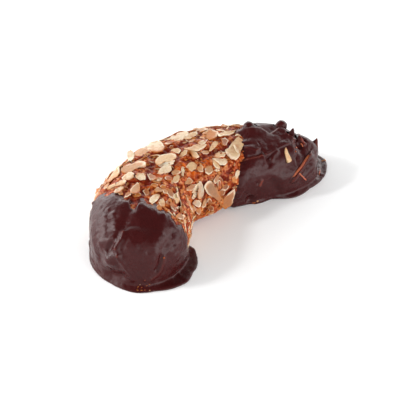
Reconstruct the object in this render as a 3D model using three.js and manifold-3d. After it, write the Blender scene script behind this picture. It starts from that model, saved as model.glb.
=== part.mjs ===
// Almond crescent: a baked almond-paste horn covered in flaked almonds, both ends dipped in dark chocolate.
// Millimetres, +Z up. +X runs between the two tips, +Y to the outside of the bend, and the soles stand on z = 0.
import * as THREE from "three";
import { mergeVertices } from "three/addons/utils/BufferGeometryUtils.js";
import Module from "manifold-3d";

const wasm = await Module();
wasm.setup();

// Baked body, before almonds and chocolate
const spineMiddle = new THREE.Vector2(-1.85, 11.55); // middle of the bend, from the part's origin
const spineLength = 132.5; // tip to tip along the middle of the body
const bendRadius = 58;
const bendAngle = THREE.MathUtils.degToRad(80);
const bluntWidth = 37.5; // body width towards the blunt tip, at -X
const slimWidth = 26; // body width towards the slim tip, at +X
const middleSwell = 8.2; // how much wider the middle is than a straight taper
const heightShare = { blunt: 0.61, middle: 0.636, slim: 0.56 }; // body height over body width
const sideShare = 0.36; // height of the widest line over body height
const baseShare = 0.84; // width of the flat base over body width
const roundness = 2.3; // exponent of the section's superellipse
const tipRoundness = 2.2; // exponent of the plan outline round a tip
const tipDrop = 0.9; // exponent by which the height follows the width into a tip
const bluntTipLength = 22.5;
const slimTipLength = 18.5;
const poleInset = 0.45; // from a tip to where its ribs meet, over the tip's length
const crustLump = 0.55; // height of the crust's lumps
const crustLumpLength = 9;

// What a flank adds to half the body's width, at places along the spine: the bend is sharper inside than outside
const outerBulge = { along: -26, spread: 17, width: 2.7 };
const bluntCheek = { from: 40, to: 55, width: 0.8 }; // towards the blunt tip
const crookDent = { along: -21, spread: 7, width: -3 };
const innerBelly = { from: -12, to: 2, width: 3.2 };
const bellyFade = { from: 35, to: 60, share: 0.6 }; // share of the belly that is gone at the slim tip

// Flaked almonds
const flakeThickness = 0.95;
const flakeSunk = 0.4; // depth of a flake's underside in the crust
const flakeLengths = { longest: 11, shortest: 4.5 };
const flakeWidthShare = { narrowest: 0.52, widest: 0.74 };
const flakeTaper = 0.28; // how much slimmer the pointed end is than the round one
const flakeCorners = 7;
const flakeCount = 100;
const flakeSpacing = 0.6; // least distance between two flakes, over their mean length
const flakeTilt = THREE.MathUtils.degToRad(14);
const brokenShare = 0.4; // share of flakes that are snapped across
const snapPlace = -0.18; // where a flake is snapped, over its length from the middle
const snapBow = 0.15; // how far a snapped edge still bows out, over the piece that is gone
const flakeLowest = 1.45; // lowest place of a flake on a rib, in rib rows
const flakeSeed = 5;
const placeTries = 80;
const rimClearance = 0.8; // bare crust between a flake and the chocolate

// Chocolate dips
const coatGap = 0.35; // between the body and the inside of the coat
const coatThickness = 1.5;
const rimThickness = 0.8;
const rimTaper = 5; // length over which the coat thins towards its rim
const rimWave = 1.1;
const rimWaveCounts = [2, 3, 5, 8];
const rimSpread = 4; // how much nearer to the middle of the bend the rim is at the floor than at the side
const soleThickness = 1.25;
const footThickness = 1.5;
const coveredFlakes = 30; // almonds that show as lumps in each coat
const coveredHeight = 1.05;
const coveredLowest = 1.3; // lowest lump on a rib, in rib rows
const lumpFlat = 0.6; // a lump is flat out to this share of its flake and gone at lumpEdge
const lumpEdge = 1.35;

// The rims are measured along the spine from the middle of the bend. The foot is how far the set pool runs out
// from the coat, in even steps from the outer side of the bend round the tip to the inner side. On the legs it
// grows from nothing at poolStart, a share of the leg from its rim.
const dips = {
  chocolate_blunt_end: {
    end: -1,
    rim: { outer: 33.5, inner: 51.5 },
    foot: [0.8, 0.9, 1, 2, 3.5, 3.1, 4.8, 6, 4.4],
    poolStart: 0,
    seed: 11,
    standing: [
      { along: 54, row: 0.95, side: 1, turn: 20, length: 6, width: 4.5, tilt: 35 },
      { along: 63.5, row: 0.8, side: -1, turn: 70, length: 8.5, width: 4.5, tilt: 32 },
    ],
  },
  chocolate_slim_end: {
    end: 1,
    rim: { outer: 38, inner: 23.5 },
    foot: [3, 5, 6.8, 6.8, 4.9, 3.2, 2.2, 1.5, 2.8],
    poolStart: 0.6,
    seed: 23,
    standing: [
      { along: 49, row: 0.2, side: 1, turn: 15, length: 6.5, width: 6, tilt: 62 },
      { along: 55.8, row: 0.12, side: -1, turn: 80, length: 6, width: 4, tilt: 60 },
      { along: 58.5, row: 0.5, side: 1, turn: 35, length: 6, width: 3.4, tilt: 72 },
      { along: 51.6, row: 0.5, side: -1, turn: 100, length: 6, width: 3, tilt: 55 },
      { along: 57, row: 0.72, side: -1, turn: 45, length: 12, width: 5.5, tilt: 34 },
    ],
  },
};

// Mesh fineness
const legColumns = 32; // ribs along one side of the body
const tipColumns = 10; // ribs round one tip
const coatLegColumns = 8;
const coatTipColumns = 14;
const bodyRows = { side: 8, under: 3, base: 1 };
const coatRows = { side: 12, under: 4, base: 1 };
const weldSteps = 1000; // corners are welded to this many places in a millimetre
const probe = { row: 0.02, along: 0.5 }; // steps along the crust that give its directions

const { lerp, clamp, smoothstep, degToRad } = THREE.MathUtils;
const soleTop = soleThickness + coatGap; // the body's flat base lies on the sole at this height

// The outside of a coat under its widest line, as shares of the foot's run and heights
const curtain = [
  { run: 0, height: (side) => side },
  { run: 0.05, height: (side) => 0.5 * side },
  { run: 0.45, height: () => 1.3 * footThickness },
  { run: 1, height: () => 0.55 * footThickness },
  { run: 0.93, height: () => 0 },
];

// Seeded random numbers from 0 to 1
function seededRandom(seed) {
  let state = seed >>> 0;
  return () => {
    state = (state + 0x6d2b79f5) >>> 0;
    let mixed = Math.imul(state ^ (state >>> 15), state | 1);
    mixed ^= mixed + Math.imul(mixed ^ (mixed >>> 7), mixed | 61);
    return ((mixed ^ (mixed >>> 14)) >>> 0) / 2 ** 32;
  };
}

// Smooth lumps from -1 to 1 at a point, about one lump for each length
function lumps(point, length) {
  const cell = point.clone().divideScalar(length).floor();
  const inside = point.clone().divideScalar(length).sub(cell);
  const eased = [inside.x, inside.y, inside.z].map((t) => t * t * (3 - 2 * t));
  let sum = 0;
  for (let corner = 0; corner < 8; corner++) {
    const step = [corner & 1, (corner >> 1) & 1, corner >> 2];
    const weight = step.reduce((w, up, axis) => w * (up ? eased[axis] : 1 - eased[axis]), 1);
    const seed = (cell.x + step[0]) * 73856093 + (cell.y + step[1]) * 19349663 + (cell.z + step[2]) * 83492791;
    sum += weight * (2 * seededRandom(seed)() - 1);
  }
  return sum;
}

// The spine in plan: an arc with a straight run into each tip
function spineAt(along) {
  const halfArc = (bendRadius * bendAngle) / 2;
  const onArc = clamp(along, -halfArc, halfArc);
  const turned = onArc / bendRadius;
  const tangent = new THREE.Vector2(Math.cos(turned), -Math.sin(turned));
  const point = new THREE.Vector2(Math.sin(turned), Math.cos(turned) - 1)
    .multiplyScalar(bendRadius)
    .addScaledVector(tangent, along - onArc)
    .add(spineMiddle);
  return { point, outward: new THREE.Vector2(-tangent.y, tangent.x) };
}

const tipLength = (end) => (end < 0 ? bluntTipLength : slimTipLength);
const poleAlong = (end) => end * (spineLength / 2 - poleInset * tipLength(end));

// Width of the body without the rounding of its tips
function fullWidth(along) {
  const share = along / spineLength + 0.5;
  return lerp(bluntWidth, slimWidth, share) + middleSwell * (1 - (2 * share - 1) ** 2);
}

function flankShift(along, side) {
  const hump = ({ along: middle, spread, width }) => width * Math.exp(-(((along - middle) / spread) ** 2));
  if (side > 0) {
    return hump(outerBulge) + bluntCheek.width * smoothstep(-along, bluntCheek.from, bluntCheek.to);
  }
  const belly = innerBelly.width * smoothstep(along, innerBelly.from, innerBelly.to);
  return hump(crookDent) + belly * (1 - bellyFade.share * smoothstep(along, bellyFade.from, bellyFade.to));
}

// How much of the full width is left as a tip closes: 1 on the body, 0 at the tip
function tipShare(along) {
  const left = spineLength / 2 - Math.abs(along);
  const into = clamp(1 - left / tipLength(Math.sign(along)), 0, 1);
  return (1 - into ** tipRoundness) ** (1 / tipRoundness);
}

function heightAt(along) {
  const towardsTip = along / (spineLength / 2);
  const atTip = along < 0 ? heightShare.blunt : heightShare.slim;
  const share = lerp(heightShare.middle, atTip, towardsTip ** 2);
  return share * fullWidth(along) * tipShare(along) ** tipDrop;
}

// A rib stands on the spine and reaches out to the plan outline. Side 1 is the outside of the bend.
function legRib(along, side) {
  const { point, outward } = spineAt(along);
  const half = (fullWidth(along) / 2 + flankShift(along, side)) * tipShare(along);
  return { stand: point, reach: outward.multiplyScalar(side * half), height: heightAt(along) };
}

// Ribs round a tip share the pole as their stand. Angle runs from 1, outer side, over 0, the tip, to -1.
function tipRib(end, angle) {
  const pole = poleAlong(end);
  const widest = Math.acos((1 - poleInset) ** (tipRoundness / 2));
  const turned = widest * angle;
  const into = Math.cos(turned) ** (2 / tipRoundness);
  const along = end * (spineLength / 2 - (1 - into) * tipLength(end));
  const side = Math.sign(angle);
  const half = (fullWidth(along) / 2 + flankShift(along, side)) * Math.sin(Math.abs(turned)) ** (2 / tipRoundness);
  const { point, outward } = spineAt(along);
  const stand = spineAt(pole).point;
  const reach = point.addScaledVector(outward, side * half).sub(stand);
  return { stand, reach, height: heightAt(pole) };
}

// A rib's outline: rows 0 to 1 go from the ridge to the widest line, 1 to 2 under it, 2 to 3 along the flat base
function profile(row) {
  const power = 2 / roundness;
  if (row <= 1) {
    const angle = (row * Math.PI) / 2;
    const up = Math.max(0, Math.cos(angle)) ** power;
    return { out: Math.sin(angle) ** power, up: lerp(sideShare, 1, up) };
  }
  if (row <= 2) {
    const angle = ((row - 1) * Math.PI) / 2;
    return { out: lerp(baseShare, 1, Math.cos(angle)), up: sideShare * (1 - Math.sin(angle)) };
  }
  return { out: baseShare * (3 - row), up: 0 };
}

function bodyPoint(rib, row) {
  const { out, up } = profile(row);
  const flat = rib.stand.clone().addScaledVector(rib.reach, out);
  return new THREE.Vector3(flat.x, flat.y, soleTop + rib.height * up);
}

function rowList({ side, under, base }) {
  const rows = [];
  for (let i = 0; i <= side; i++) rows.push(i / side);
  for (let i = 1; i <= under; i++) rows.push(1 + i / under);
  for (let i = 1; i <= base; i++) rows.push(2 + i / base);
  return rows;
}

// A skin of welded corners between neighbouring columns of ribs
function weldSkin(columns, rows, closed) {
  const corners = [];
  const faces = [];
  const known = new Map();
  const weld = (rib, row) => {
    const point = bodyPoint(rib, row);
    const key = point.toArray().map((x) => Math.round(x * weldSteps)).join();
    if (!known.has(key)) {
      known.set(key, corners.length);
      corners.push({ point, rib, row, normal: new THREE.Vector3() });
    }
    return known.get(key);
  };
  const grid = columns.map((ribAt) => rows.map((row) => weld(ribAt(row), row)));
  const last = closed ? grid.length : grid.length - 1;
  for (let i = 0; i < last; i++) {
    const here = grid[i];
    const next = grid[(i + 1) % grid.length];
    for (let k = 0; k + 1 < rows.length; k++) {
      faces.push([here[k], next[k + 1], here[k + 1]], [here[k], next[k], next[k + 1]]);
    }
  }
  const whole = faces.filter(([a, b, c]) => a !== b && b !== c && c !== a);
  for (const face of whole) {
    const [a, b, c] = face.map((i) => corners[i].point);
    const tilt = b.clone().sub(a).cross(c.clone().sub(a));
    face.forEach((i) => corners[i].normal.add(tilt));
  }
  corners.forEach((corner) => corner.normal.normalize());
  return { corners, faces: whole };
}

// The crust's lumps move a corner of the body along its normal, and leave the flat base alone
function crustPoint({ point, normal, row }) {
  const lift = row < 2 ? crustLump * lumps(point, crustLumpLength) : 0;
  return point.clone().addScaledVector(normal, lift);
}

function geometryOf(points, faces) {
  return new THREE.BufferGeometry().setFromPoints(points).setIndex(faces.flat());
}

function solidOf(geometry) {
  const bare = new THREE.BufferGeometry().setAttribute("position", geometry.getAttribute("position"));
  bare.setIndex(geometry.index);
  const merged = mergeVertices(bare);
  return new wasm.Manifold(
    new wasm.Mesh({
      numProp: 3,
      vertProperties: merged.getAttribute("position").array,
      triVerts: new Uint32Array(merged.index.array),
    }),
  );
}

// Joins solids, fills what the joints seal in and drops loose scraps
function fuse(solids) {
  const joined = solids.reduce((whole, piece) => whole.add(piece));
  return joined.decompose().sort((a, b) => b.volume() - a.volume())[0];
}

function meshOf(solid, name, material) {
  const { vertProperties, triVerts } = solid.getMesh();
  const geometry = new THREE.BufferGeometry()
    .setAttribute("position", new THREE.BufferAttribute(vertProperties, 3))
    .setIndex(new THREE.BufferAttribute(triVerts, 1));
  geometry.computeVertexNormals();
  const mesh = new THREE.Mesh(geometry, material);
  mesh.name = name;
  return mesh;
}

// Where a dip's rim crosses the body, slanting from one side of the bend to the other
function rimAlong({ end, rim }, side, row) {
  const across = (side * profile(row).out + 1) / 2;
  return end * (lerp(rim.inner, rim.outer, across) - rimSpread * smoothstep(row, 1, 2));
}

// A place on the crust with the directions that a flake lies in
function placeOnBody(along, row, side) {
  const rib = legRib(along, side);
  const point = bodyPoint(rib, row);
  const down = bodyPoint(rib, row + probe.row).sub(point);
  const run = bodyPoint(legRib(along + probe.along, side), row).sub(point).normalize();
  const normal = run.clone().cross(down).multiplyScalar(side).normalize();
  return { point, run, normal, along };
}

// Largest flakes first, each at the first free place that the random draw finds
function scatterFlakes({ count, seed, drawPlace, keepPlace }) {
  const random = seededRandom(seed);
  const flakes = [];
  for (let i = 0; i < count; i++) {
    const length = lerp(flakeLengths.longest, flakeLengths.shortest, Math.sqrt(i / count));
    for (let attempt = 0; attempt < placeTries; attempt++) {
      const place = drawPlace(random);
      const near = ({ place: other, length: otherLength }) =>
        other.point.distanceTo(place.point) < (flakeSpacing * (length + otherLength)) / 2;
      if (!keepPlace(place, length) || flakes.some(near)) continue;
      const share = lerp(flakeWidthShare.narrowest, flakeWidthShare.widest, random());
      flakes.push({
        place,
        length,
        width: length * share,
        turn: random() * 2 * Math.PI,
        tilt: (2 * random() - 1) * flakeTilt,
        broken: random() < brokenShare,
      });
      break;
    }
  }
  return flakes;
}

// An almond slice: egg-shaped, sometimes snapped nearly straight across
function flakeGeometry({ length, width, broken }) {
  const snap = snapPlace * length;
  const outline = [];
  for (let i = 0; i < flakeCorners; i++) {
    const angle = (i / flakeCorners) * 2 * Math.PI;
    const x = (length / 2) * Math.cos(angle);
    const y = (width / 2) * Math.sin(angle) * (1 - flakeTaper * Math.cos(angle));
    outline.push(new THREE.Vector2(broken && x < snap ? lerp(snap, x, snapBow) : x, y));
  }
  return new THREE.ExtrudeGeometry(new THREE.Shape(outline), { depth: flakeThickness, bevelEnabled: false });
}

// Lays a flake on its place: turned about the crust's normal, tilted about its own long side, and lifted
function layFlake(flake, lift) {
  const { point, run, normal } = flake.place;
  const long = run.clone().applyAxisAngle(normal, flake.turn);
  const face = normal.clone().applyAxisAngle(long, flake.tilt);
  const cross = face.clone().cross(long);
  const stance = new THREE.Matrix4().makeBasis(long, cross, face);
  stance.setPosition(point.clone().addScaledVector(normal, lift));
  return solidOf(flakeGeometry(flake).applyMatrix4(stance));
}

// Bare crust between the two dips
function drawOnCrust(random) {
  const side = random() < 0.5 ? 1 : -1;
  const row = random() * flakeLowest;
  const from = rimAlong(dips.chocolate_blunt_end, side, row);
  const to = rimAlong(dips.chocolate_slim_end, side, row);
  return { ...placeOnBody(lerp(from, to, random()), row, side), from, to };
}

const clearOfDips = ({ along, from, to }, length) =>
  Math.min(along - from, to - along) > length / 2 + rimWave + rimClearance;

function almondCrescent() {
  const columns = [];
  const leg = (side) => {
    for (let i = 0; i < legColumns; i++) {
      const share = side > 0 ? i / legColumns : 1 - i / legColumns;
      const along = lerp(poleAlong(-1), poleAlong(1), share);
      columns.push(() => legRib(along, side));
    }
  };
  const tip = (end) => {
    for (let i = 0; i < tipColumns; i++) {
      const angle = end * (1 - (2 * i) / tipColumns);
      columns.push(() => tipRib(end, angle));
    }
  };
  leg(1);
  tip(1);
  leg(-1);
  tip(-1);
  const skin = weldSkin(columns, rowList(bodyRows), true);
  const body = solidOf(geometryOf(skin.corners.map(crustPoint), skin.faces));
  const flakes = scatterFlakes({
    count: flakeCount,
    seed: flakeSeed,
    drawPlace: drawOnCrust,
    keepPlace: clearOfDips,
  });
  return fuse([body, ...flakes.map((flake) => layFlake(flake, -flakeSunk))]);
}

// Almonds under a coat, from its rim to its tip
function coveredAlmonds(dip) {
  const drawPlace = (random) => {
    const side = random() < 0.5 ? 1 : -1;
    const row = random() * coveredLowest;
    const along = lerp(rimAlong(dip, side, row), dip.end * (spineLength / 2), random());
    return placeOnBody(along, row, side);
  };
  return scatterFlakes({ count: coveredFlakes, seed: dip.seed, drawPlace, keepPlace: () => true });
}

// Height of the lumps that covered almonds raise in a coat
function coveredLump(point, flakes) {
  let height = 0;
  for (const { place, length, width, turn } of flakes) {
    const offset = point.clone().sub(place.point);
    const long = place.run.clone().applyAxisAngle(place.normal, turn);
    const x = offset.dot(long) / (length / 2);
    const y = offset.dot(place.normal.clone().cross(long)) / (width / 2);
    const z = offset.dot(place.normal) / length;
    height = Math.max(height, coveredHeight * (1 - smoothstep(Math.hypot(x, y, z), lumpFlat, lumpEdge)));
  }
  return height;
}

// How far the set pool runs out at a rib; share runs from 0 at the rim to 1 where the tip starts
function footReach({ foot, poolStart }, angle, share) {
  const step = ((1 - angle) / 2) * (foot.length - 1);
  const low = Math.min(Math.floor(step), foot.length - 2);
  return lerp(foot[low], foot[low + 1], step - low) * smoothstep(share, poolStart, 1);
}

// The outside of the coat under its widest line: a curtain that flares into the set pool, then a flat sole
function footPoint({ rib, row }, lump) {
  const out = rib.reach.clone().normalize();
  const step = curtain[Math.round(clamp(row - 1, 0, 1) * (curtain.length - 1))];
  const widest = rib.reach.length() + coatGap + coatThickness + lump;
  const distance = (widest + step.run * rib.foot) * (row > 2 ? 3 - row : 1);
  const flat = rib.stand.clone().addScaledVector(out, distance);
  return new THREE.Vector3(flat.x, flat.y, step.height(soleTop + sideShare * rib.height));
}

// Columns of ribs from the rim on the outer side, round the tip, to the rim on the inner side
function coatColumns(dip) {
  const random = seededRandom(dip.seed);
  const waves = rimWaveCounts.map((count) => ({ count, phase: random() * 2 * Math.PI }));
  const wave = (around) =>
    waves.reduce((sum, { count, phase }) => sum + Math.sin(count * Math.PI * around + phase), 0) / waves.length;
  const pole = poleAlong(dip.end);
  const leg = (side, share) => (row) => {
    const rim = rimAlong(dip, side, row) + rimWave * wave((side * row) / 3);
    const rib = legRib(lerp(rim, pole, share), side);
    return { ...rib, foot: footReach(dip, side, share), fromRim: Math.abs(pole - rim) * share };
  };
  const tip = (angle) => () => ({
    ...tipRib(dip.end, angle),
    foot: footReach(dip, angle, 1),
    fromRim: rimTaper,
  });
  const columns = [];
  for (let i = 0; i < coatLegColumns; i++) columns.push(leg(1, i / coatLegColumns));
  for (let i = 0; i <= coatTipColumns; i++) columns.push(tip(1 - (2 * i) / coatTipColumns));
  for (let i = coatLegColumns - 1; i >= 0; i--) columns.push(leg(-1, i / coatLegColumns));
  return dip.end < 0 ? columns.reverse() : columns;
}

// Two skins, joined along the rim, where each edge of a skin has only one face
function shellOf(outside, inside, faces) {
  const count = outside.length;
  const open = new Map();
  for (const [a, b, c] of faces) {
    for (const [from, to] of [[a, b], [b, c], [c, a]]) {
      if (!open.delete(`${to},${from}`)) open.set(`${from},${to}`, [from, to]);
    }
  }
  const walls = [...open.values()].flatMap(([from, to]) => [
    [to, from, from + count],
    [to, from + count, to + count],
  ]);
  const turnedIn = faces.map(([a, b, c]) => [a + count, c + count, b + count]);
  return solidOf(geometryOf([...outside, ...inside], [...faces, ...turnedIn, ...walls]));
}

function chocolateCoat(dip) {
  const covered = coveredAlmonds(dip);
  const skin = weldSkin(coatColumns(dip), rowList(coatRows), false);
  const inside = skin.corners.map((corner) => crustPoint(corner).addScaledVector(corner.normal, coatGap));
  const outside = skin.corners.map((corner, i) => {
    const thinning = smoothstep(corner.rib.fromRim, 0, rimTaper);
    const lump = thinning * coveredLump(corner.point, covered);
    if (corner.row > 1) return footPoint(corner, lump * (1 - smoothstep(corner.row, 1, 1.5)));
    return inside[i].clone().addScaledVector(corner.normal, lerp(rimThickness, coatThickness, thinning) + lump);
  });
  const standing = dip.standing.map(({ along, row, side, turn, length, width, tilt }) => {
    const place = placeOnBody(dip.end * along, row, side);
    const flake = { place, length, width, turn: degToRad(turn), tilt: degToRad(tilt), broken: false };
    return layFlake(flake, coatGap + coatThickness / 2 + (width / 2) * Math.sin(flake.tilt));
  });
  return fuse([shellOf(outside, inside, skin.faces), ...standing]);
}

const bakedAlmond = new THREE.MeshStandardMaterial({ color: 0xc27a3e, roughness: 0.55, metalness: 0 });
const darkChocolate = new THREE.MeshStandardMaterial({ color: 0x4a2826, roughness: 0.35, metalness: 0 });

const crescent = new THREE.Group();
crescent.add(meshOf(almondCrescent(), "almond_crescent", bakedAlmond));
for (const [name, dip] of Object.entries(dips)) {
  crescent.add(meshOf(chocolateCoat(dip), name, darkChocolate));
}

export default crescent;
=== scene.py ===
import math

import bpy
import numpy as np
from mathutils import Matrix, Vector, noise
from mathutils.bvhtree import BVHTree


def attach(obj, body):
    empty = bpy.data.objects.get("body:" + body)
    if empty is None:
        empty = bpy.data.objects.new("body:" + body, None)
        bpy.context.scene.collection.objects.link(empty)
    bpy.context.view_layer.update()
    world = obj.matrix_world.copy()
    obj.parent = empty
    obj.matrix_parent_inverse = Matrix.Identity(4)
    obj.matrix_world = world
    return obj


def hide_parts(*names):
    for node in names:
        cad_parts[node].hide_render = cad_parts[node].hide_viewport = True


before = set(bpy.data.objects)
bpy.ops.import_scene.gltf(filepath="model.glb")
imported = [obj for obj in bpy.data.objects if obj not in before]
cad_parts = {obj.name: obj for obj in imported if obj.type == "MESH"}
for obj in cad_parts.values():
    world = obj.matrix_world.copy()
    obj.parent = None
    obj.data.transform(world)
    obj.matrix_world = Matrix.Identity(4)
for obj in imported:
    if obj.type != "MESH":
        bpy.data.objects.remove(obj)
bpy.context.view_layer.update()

mm = 0.001  # shapes are worked out in millimetres, meshes are made in metres
print("frame loaded:", sorted(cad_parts))


# camera, at the photograph's viewing angle

photo = {
    "side": 400,  # pixels
    "focal": 1680,  # pixels
    "azimuth": -47.1,
    "elevation": 36.0,
    "distance": 750.0,  # mm, as the target
    "target": (3.65, 4.35, 0.0),
    "sensor": 36.0,
    "scale": 2.24,  # pixels to the millimetre at the target
    "reach": (660, 840),  # mm from the eye, between which the biscuit lies
}

turn = math.radians(photo["azimuth"])
rise = math.radians(photo["elevation"])
camBack = Vector((math.sin(turn) * math.cos(rise), -math.cos(turn) * math.cos(rise), math.sin(rise)))
camRight = Vector((math.cos(turn), math.sin(turn), 0))
camUp = camBack.cross(camRight)
camEye = Vector(photo["target"]) + camBack * photo["distance"]

camData = bpy.data.cameras.new("camera")
camData.sensor_width = photo["sensor"]
camData.lens = photo["focal"] / photo["side"] * photo["sensor"]
camera = bpy.data.objects.new("camera", camData)
camera.location = camEye * mm
camera.rotation_mode = "QUATERNION"
camera.rotation_quaternion = (-camBack).to_track_quat("-Z", "Y")
bpy.context.scene.collection.objects.link(camera)
bpy.context.scene.camera = camera


def pixelRay(pixel):
    x = (pixel[0] - photo["side"] / 2) / photo["focal"]
    y = (photo["side"] / 2 - pixel[1]) / photo["focal"]
    return (camRight * x + camUp * y - camBack).normalized()


def pixelsOf(points):
    seen = np.asarray(points) - np.array(camEye)
    scale = -photo["focal"] / (seen @ np.array(camBack))
    flat = np.stack([seen @ np.array(camRight) * scale, -(seen @ np.array(camUp)) * scale], -1)
    return flat + photo["side"] / 2


def rayHit(tree, pixel):  # where the pixel's line of sight meets a surface, or passes it closest
    ray = pixelRay(pixel)
    place, normal, face, distance = tree.ray_cast(camEye, ray)
    if place is not None:
        return place, normal
    tries = [tree.find_nearest(camEye + ray * far) for far in np.linspace(*photo["reach"], 91)]
    place, normal, face, distance = min(tries, key=lambda found: found[3])
    return place, normal


def planeHits(pixels, centre, normal):  # where lines of sight meet a plane
    rays = [pixelRay(pixel) for pixel in pixels]
    return np.array([camEye + ray * ((centre - camEye).dot(normal) / ray.dot(normal)) for ray in rays])


# small tools

def linear(code):  # sRGB hex to linear colour
    parts = [int(code[i:i + 2], 16) / 255 for i in (0, 2, 4)]
    return [x / 12.92 if x <= 0.04045 else ((x + 0.055) / 1.055) ** 2.4 for x in parts] + [1.0]


def lerp(a, b, t):
    return a + (b - a) * t


def ease(x, low, high):
    t = np.clip((x - low) / (high - low), 0, 1)
    return t * t * (3 - 2 * t)


def hump(x, middle, spread):
    return np.exp(-(((x - middle) / spread) ** 2))


def bumps(points, size, seed=0):  # smooth noise from -1 to 1, one bump for each size in mm
    shift = Vector((17.3, 5.1, 9.7)) * seed
    return np.array([noise.noise(Vector(p) / size + shift) for p in points])


def lineDistance(points, line):
    if len(line) == 1:
        return np.linalg.norm(points - line[0], axis=1)
    best = np.full(len(points), np.inf)
    for a, b in zip(line[:-1], line[1:]):
        t = np.clip((points - a) @ (b - a) / max((b - a) @ (b - a), 1e-9), 0, 1)
        best = np.minimum(best, np.linalg.norm(points - a - t[:, None] * (b - a), axis=1))
    return best


def insideOutline(pixels, outline):
    inside = np.zeros(len(pixels), bool)
    for (ax, ay), (bx, by) in zip(outline, np.roll(outline, -1, 0)):
        if ay != by:
            crosses = (pixels[:, 1] > ay) != (pixels[:, 1] > by)
            inside ^= crosses & (pixels[:, 0] < ax + (pixels[:, 1] - ay) / (by - ay) * (bx - ax))
    return inside


def weld(points, faces):  # joins corners that fall together and drops the faces that close up
    steps = 1e4  # to the millimetre
    keys = np.round(points * steps).astype(np.int64)
    first, index = np.unique(keys, axis=0, return_index=True, return_inverse=True)[1:]
    index = index.ravel()
    kept = []
    for face in index[np.asarray(faces)]:
        corners = [face[k] for k in range(len(face)) if face[k] != face[k - 1]]
        if len(set(corners)) > 2:
            kept.append(corners)
    return points[first], kept


def treeOf(points, faces):
    return BVHTree.FromPolygons([Vector(p) for p in points], [list(map(int, face)) for face in faces])


def meshTree(mesh, points):
    return treeOf(points, [list(face.vertices) for face in mesh.polygons])


def makePiece(name, points, faces, material, smooth=True):
    mesh = bpy.data.meshes.new(name)
    mesh.from_pydata((np.asarray(points) * mm).tolist(), [], [list(map(int, face)) for face in faces])
    mesh.validate()
    mesh.polygons.foreach_set("use_smooth", [smooth] * len(mesh.polygons))
    mesh.materials.append(material)
    mesh.update()
    piece = bpy.data.objects.new(name, mesh)
    bpy.context.scene.collection.objects.link(piece)
    return piece


def readPoints(mesh):
    points = np.zeros(len(mesh.vertices) * 3, np.float32)
    mesh.vertices.foreach_get("co", points)
    return points.reshape(-1, 3).astype(float) / mm


def readNormals(mesh):
    normals = np.zeros(len(mesh.vertices) * 3, np.float32)
    mesh.vertex_normals.foreach_get("vector", normals)
    return normals.reshape(-1, 3).astype(float)


def writePoints(mesh, points):
    mesh.vertices.foreach_set("co", (points * mm).astype(np.float32).ravel())
    mesh.update()


def neighbourMean(mesh):  # gives a function: the mean of a value over each corner's neighbours
    edges = np.zeros(len(mesh.edges) * 2, np.int32)
    mesh.edges.foreach_get("vertices", edges)
    a, b = edges.reshape(-1, 2).T
    count = len(mesh.vertices)
    links = np.maximum(np.bincount(a, minlength=count) + np.bincount(b, minlength=count), 1)

    def mean(values):
        columns = [np.bincount(a, v[b], count) + np.bincount(b, v[a], count) for v in values.T]
        return np.array(columns).T / links[:, None]
    return mean


def paint(mesh, name, values):  # a number or a colour for each corner
    kind = "FLOAT" if values.ndim == 1 else "FLOAT_COLOR"
    layer = mesh.attributes.new(name, kind, "POINT")
    layer.data.foreach_set("value" if values.ndim == 1 else "color", values.astype(np.float32).ravel())


def addNode(tree, kind, inputs=None, **settings):  # a node with its settings, values and links
    node = tree.nodes.new(kind)
    for name, value in settings.items():
        setattr(node, name, value)
    for name, value in (inputs or {}).items():
        if isinstance(value, bpy.types.NodeSocket):
            tree.links.new(value, node.inputs[name])
        else:
            node.inputs[name].default_value = value
    return node


def startMaterial(name):
    material = bpy.data.materials.new(name)
    material.use_nodes = True
    tree = material.node_tree
    return material, tree, tree.nodes["Principled BSDF"]


# the horn's own form, the same sizes as the solids

horn = {
    "middle": np.array([-1.85, 11.55]),  # middle of the bend
    "length": 132.5,  # tip to tip along the spine
    "bendRadius": 58.0,
    "bendAngle": math.radians(80),
    "bluntWidth": 37.5,
    "slimWidth": 26.0,
    "swell": 8.2,
    "height": {"blunt": 0.61, "middle": 0.636, "slim": 0.56},  # over the width
    "side": 0.36,  # height of the widest line, over the height
    "base": 0.84,  # flat base, over the width
    "round": 2.3,
    "tipRound": 2.2,
    "tipDrop": 0.9,
    "bluntTip": 22.5,
    "slimTip": 18.5,
    "pole": 0.45,  # where the ribs round a tip meet, over the tip's length
    "floor": 1.6,  # the base lies on chocolate soles
    "elbow": (2.7, -26, 17),  # extra half width outside: most, where along the spine, spread
    "shoulder": (0.8, 40, 55),  # outside the blunt end: most, from where, to where
    "flank": (3.2, -12, 2),  # inside the slim leg, in the same way
    "flankFade": (0.6, 35, 60),  # share that it loses towards the tip
    "crook": (3.0, -21, 7),  # what the inside of the bend lacks
}


def spineAt(along):
    half = horn["bendRadius"] * horn["bendAngle"] / 2
    onArc = np.clip(along, -half, half)
    t = onArc / horn["bendRadius"]
    tangent = np.stack([np.cos(t), -np.sin(t)], -1)
    point = horn["bendRadius"] * np.stack([np.sin(t), np.cos(t) - 1], -1)
    point = point + tangent * (along - onArc)[..., None] + horn["middle"]
    return point, np.stack([-tangent[..., 1], tangent[..., 0]], -1)


def tipLength(end):
    return np.where(end < 0, horn["bluntTip"], horn["slimTip"])


def poleAlong(end):
    return end * (horn["length"] / 2 - horn["pole"] * float(tipLength(end)))


def widthAt(along):
    share = along / horn["length"] + 0.5
    return lerp(horn["bluntWidth"], horn["slimWidth"], share) + horn["swell"] * (1 - (2 * share - 1) ** 2)


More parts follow.
